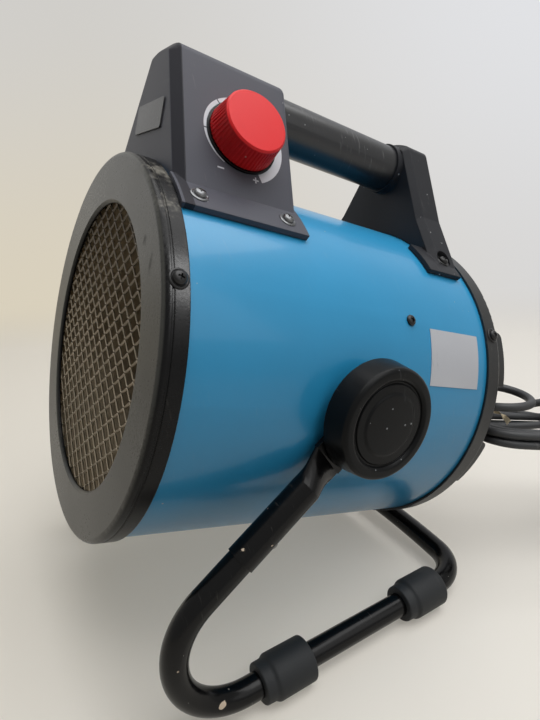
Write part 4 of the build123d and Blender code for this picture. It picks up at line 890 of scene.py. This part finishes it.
# ---- floor, backdrop and light -----------------------------------------------
# A pale table that curves up into a pale wall. Soft light comes from a wide ceiling lamp, with
# a weak window at the left and two weak lamps on the right, one of them behind the heater.
looking = Vector((-0.858, 0.513, 0.0))
beside = looking.cross(Vector((0, 0, 1)))
room_tone = shade(192, 191, 188)


def seen_by(tree):
    """1 for rays that show a surface in the picture, straight, mirrored or through glass."""
    rays = wire(tree, "ShaderNodeLightPath").outputs
    return maths(tree, "MAXIMUM", rays["Is Camera Ray"],
                 maths(tree, "MAXIMUM", rays["Is Glossy Ray"], rays["Is Transmission Ray"]))


studio = bpy.data.materials.new("studio")
studio.use_nodes = True
paper = studio.node_tree
paper.nodes["Principled BSDF"].inputs["Roughness"].default_value = 0.9
spread_out = wire(paper, "ShaderNodeTexCoord").outputs["Object"]
far_off = reach_along(paper, spread_out, looking)
height = wire(paper, "ShaderNodeSeparateXYZ", {"Vector": spread_out}).outputs["Z"]
sideways = reach_along(paper, spread_out, beside)
# the wall's tone, from left to right in a lower and an upper row
rows = [blended(paper, step(paper, sideways, -0.6, 0.9), left, right)
        for left, right in ((shade(217, 208, 188), shade(216, 215, 214)),
                            (shade(208, 206, 202), shade(226, 227, 230)))]
wall_tone = blended(paper, step(paper, height, -0.1, 0.9), rows[0], rows[1])
# far from the heater, the floor and the wall turn to the room's own tone
distance = length_of(paper, spread_out)
away = maths(paper, "MAXIMUM", step(paper, distance, 2.1, 3.2),
             maths(paper, "MULTIPLY", step(paper, distance, 0.8, 2.6),
                   step(paper, far_off, 0.4, -0.4)))
wall_tone = blended(paper, away, wall_tone, room_tone)
seen = seen_by(paper)
table = blended(paper, seen, shade(150, 147, 142), shade(250, 245, 236))
paper.links.new(table, paper.nodes["Principled BSDF"].inputs["Base Color"])
lit_wall = wire(paper, "ShaderNodeEmission", {"Color": wall_tone})
surface = wire(paper, "ShaderNodeMixShader",
               {0: maths(paper, "MULTIPLY", seen,
                         maths(paper, "MAXIMUM", maths(paper, "MAXIMUM", away, 0.35),
                               step(paper, far_off, 0.3, 1.0)))})
paper.links.new(paper.nodes["Principled BSDF"].outputs[0], surface.inputs[1])
paper.links.new(lit_wall.outputs[0], surface.inputs[2])
paper.links.new(surface.outputs[0], paper.nodes["Material Output"].inputs["Surface"])
bend_from, bend_radius, wall_top, floor_reach = 0.9, 0.5, 3.0, 9.0
bend = [(bend_from + bend_radius * sin(a * pi / 16), bend_radius - bend_radius * cos(a * pi / 16))
        for a in range(1, 9)]
profile = ([(-floor_reach, 0.0), (bend_from, 0.0)] + bend
           + [(bend_from + bend_radius, wall_top)])
corners = [looking * along_view + beside * x + Vector((0, 0, z))
           for along_view, z in profile for x in (floor_reach, -floor_reach)]
sweep = mesh_of("sweep", corners, [(2 * i, 2 * i + 1, 2 * i + 3, 2 * i + 2)
                                   for i in range(len(profile) - 1)])
sweep.materials.append(studio)
sweep.polygons.foreach_set("use_smooth", [True] * len(sweep.polygons))
backdrop = in_scene("backdrop", sweep)


def lit_from(lamp_name, where_from, size, power, aim=(0, 0, 0.15)):
    """A square lamp that shines on a point; the heater's middle unless another is given."""
    lamp = in_scene(lamp_name, bpy.data.lights.new(lamp_name, "AREA"))
    lamp.data.size = size
    lamp.data.energy = power
    lamp.location = where_from
    lamp.rotation_euler = (Vector(aim) - lamp.location).to_track_quat("-Z", "Y").to_euler()
    return lamp


lit_from("window", (-1.7, -0.6, 0.9), 1.3, 2.4)
lit_from("ceiling", (0.2, 0.3, 1.7), 1.7, 27.0)
lit_from("back_window", (1.5, 0.6, 1.1), 1.2, 4.0)
lit_from("right_top", (1.1, 0.1, 1.7), 1.2, 3.5)
# a small lamp for the outlet ring alone makes the highlight on its side
glint = lit_from("glint", (1.0, 0.91, 1.27), 0.6, 25.0, aim=(0.0975, -0.091, 0.237))
glint_on = bpy.data.collections.new("glint_on")
glint_on.objects.link(nodes["outlet_ring"])
glint.light_linking.receiver_collection = glint_on
world = bpy.data.worlds.new("room")
bpy.context.scene.world = world
world.use_nodes = True
sky = world.node_tree
# the room's own soft light comes mostly from behind the heater
brightest = Vector((-0.75, 0.65, -0.1)).normalized()
heading = reach_along(sky, wire(sky, "ShaderNodeTexCoord").outputs["Generated"], brightest)
bright = wire(sky, "ShaderNodeMapRange", {"Value": heading, "From Min": -0.1, "From Max": 0.9,
                                          "To Min": 0.03, "To Max": 0.9},
              interpolation_type="SMOOTHSTEP").outputs["Result"]
seen = seen_by(sky)
shown = blended(sky, seen, (1.0, 0.99, 0.97, 1), room_tone)
sky.links.new(shown, sky.nodes["Background"].inputs["Color"])
sky.links.new(maths(sky, "ADD", seen, maths(sky, "MULTIPLY", bright,
                                            maths(sky, "SUBTRACT", 1.0, seen))),
              sky.nodes["Background"].inputs["Strength"])
bpy.context.scene.view_settings.view_transform = "Standard"
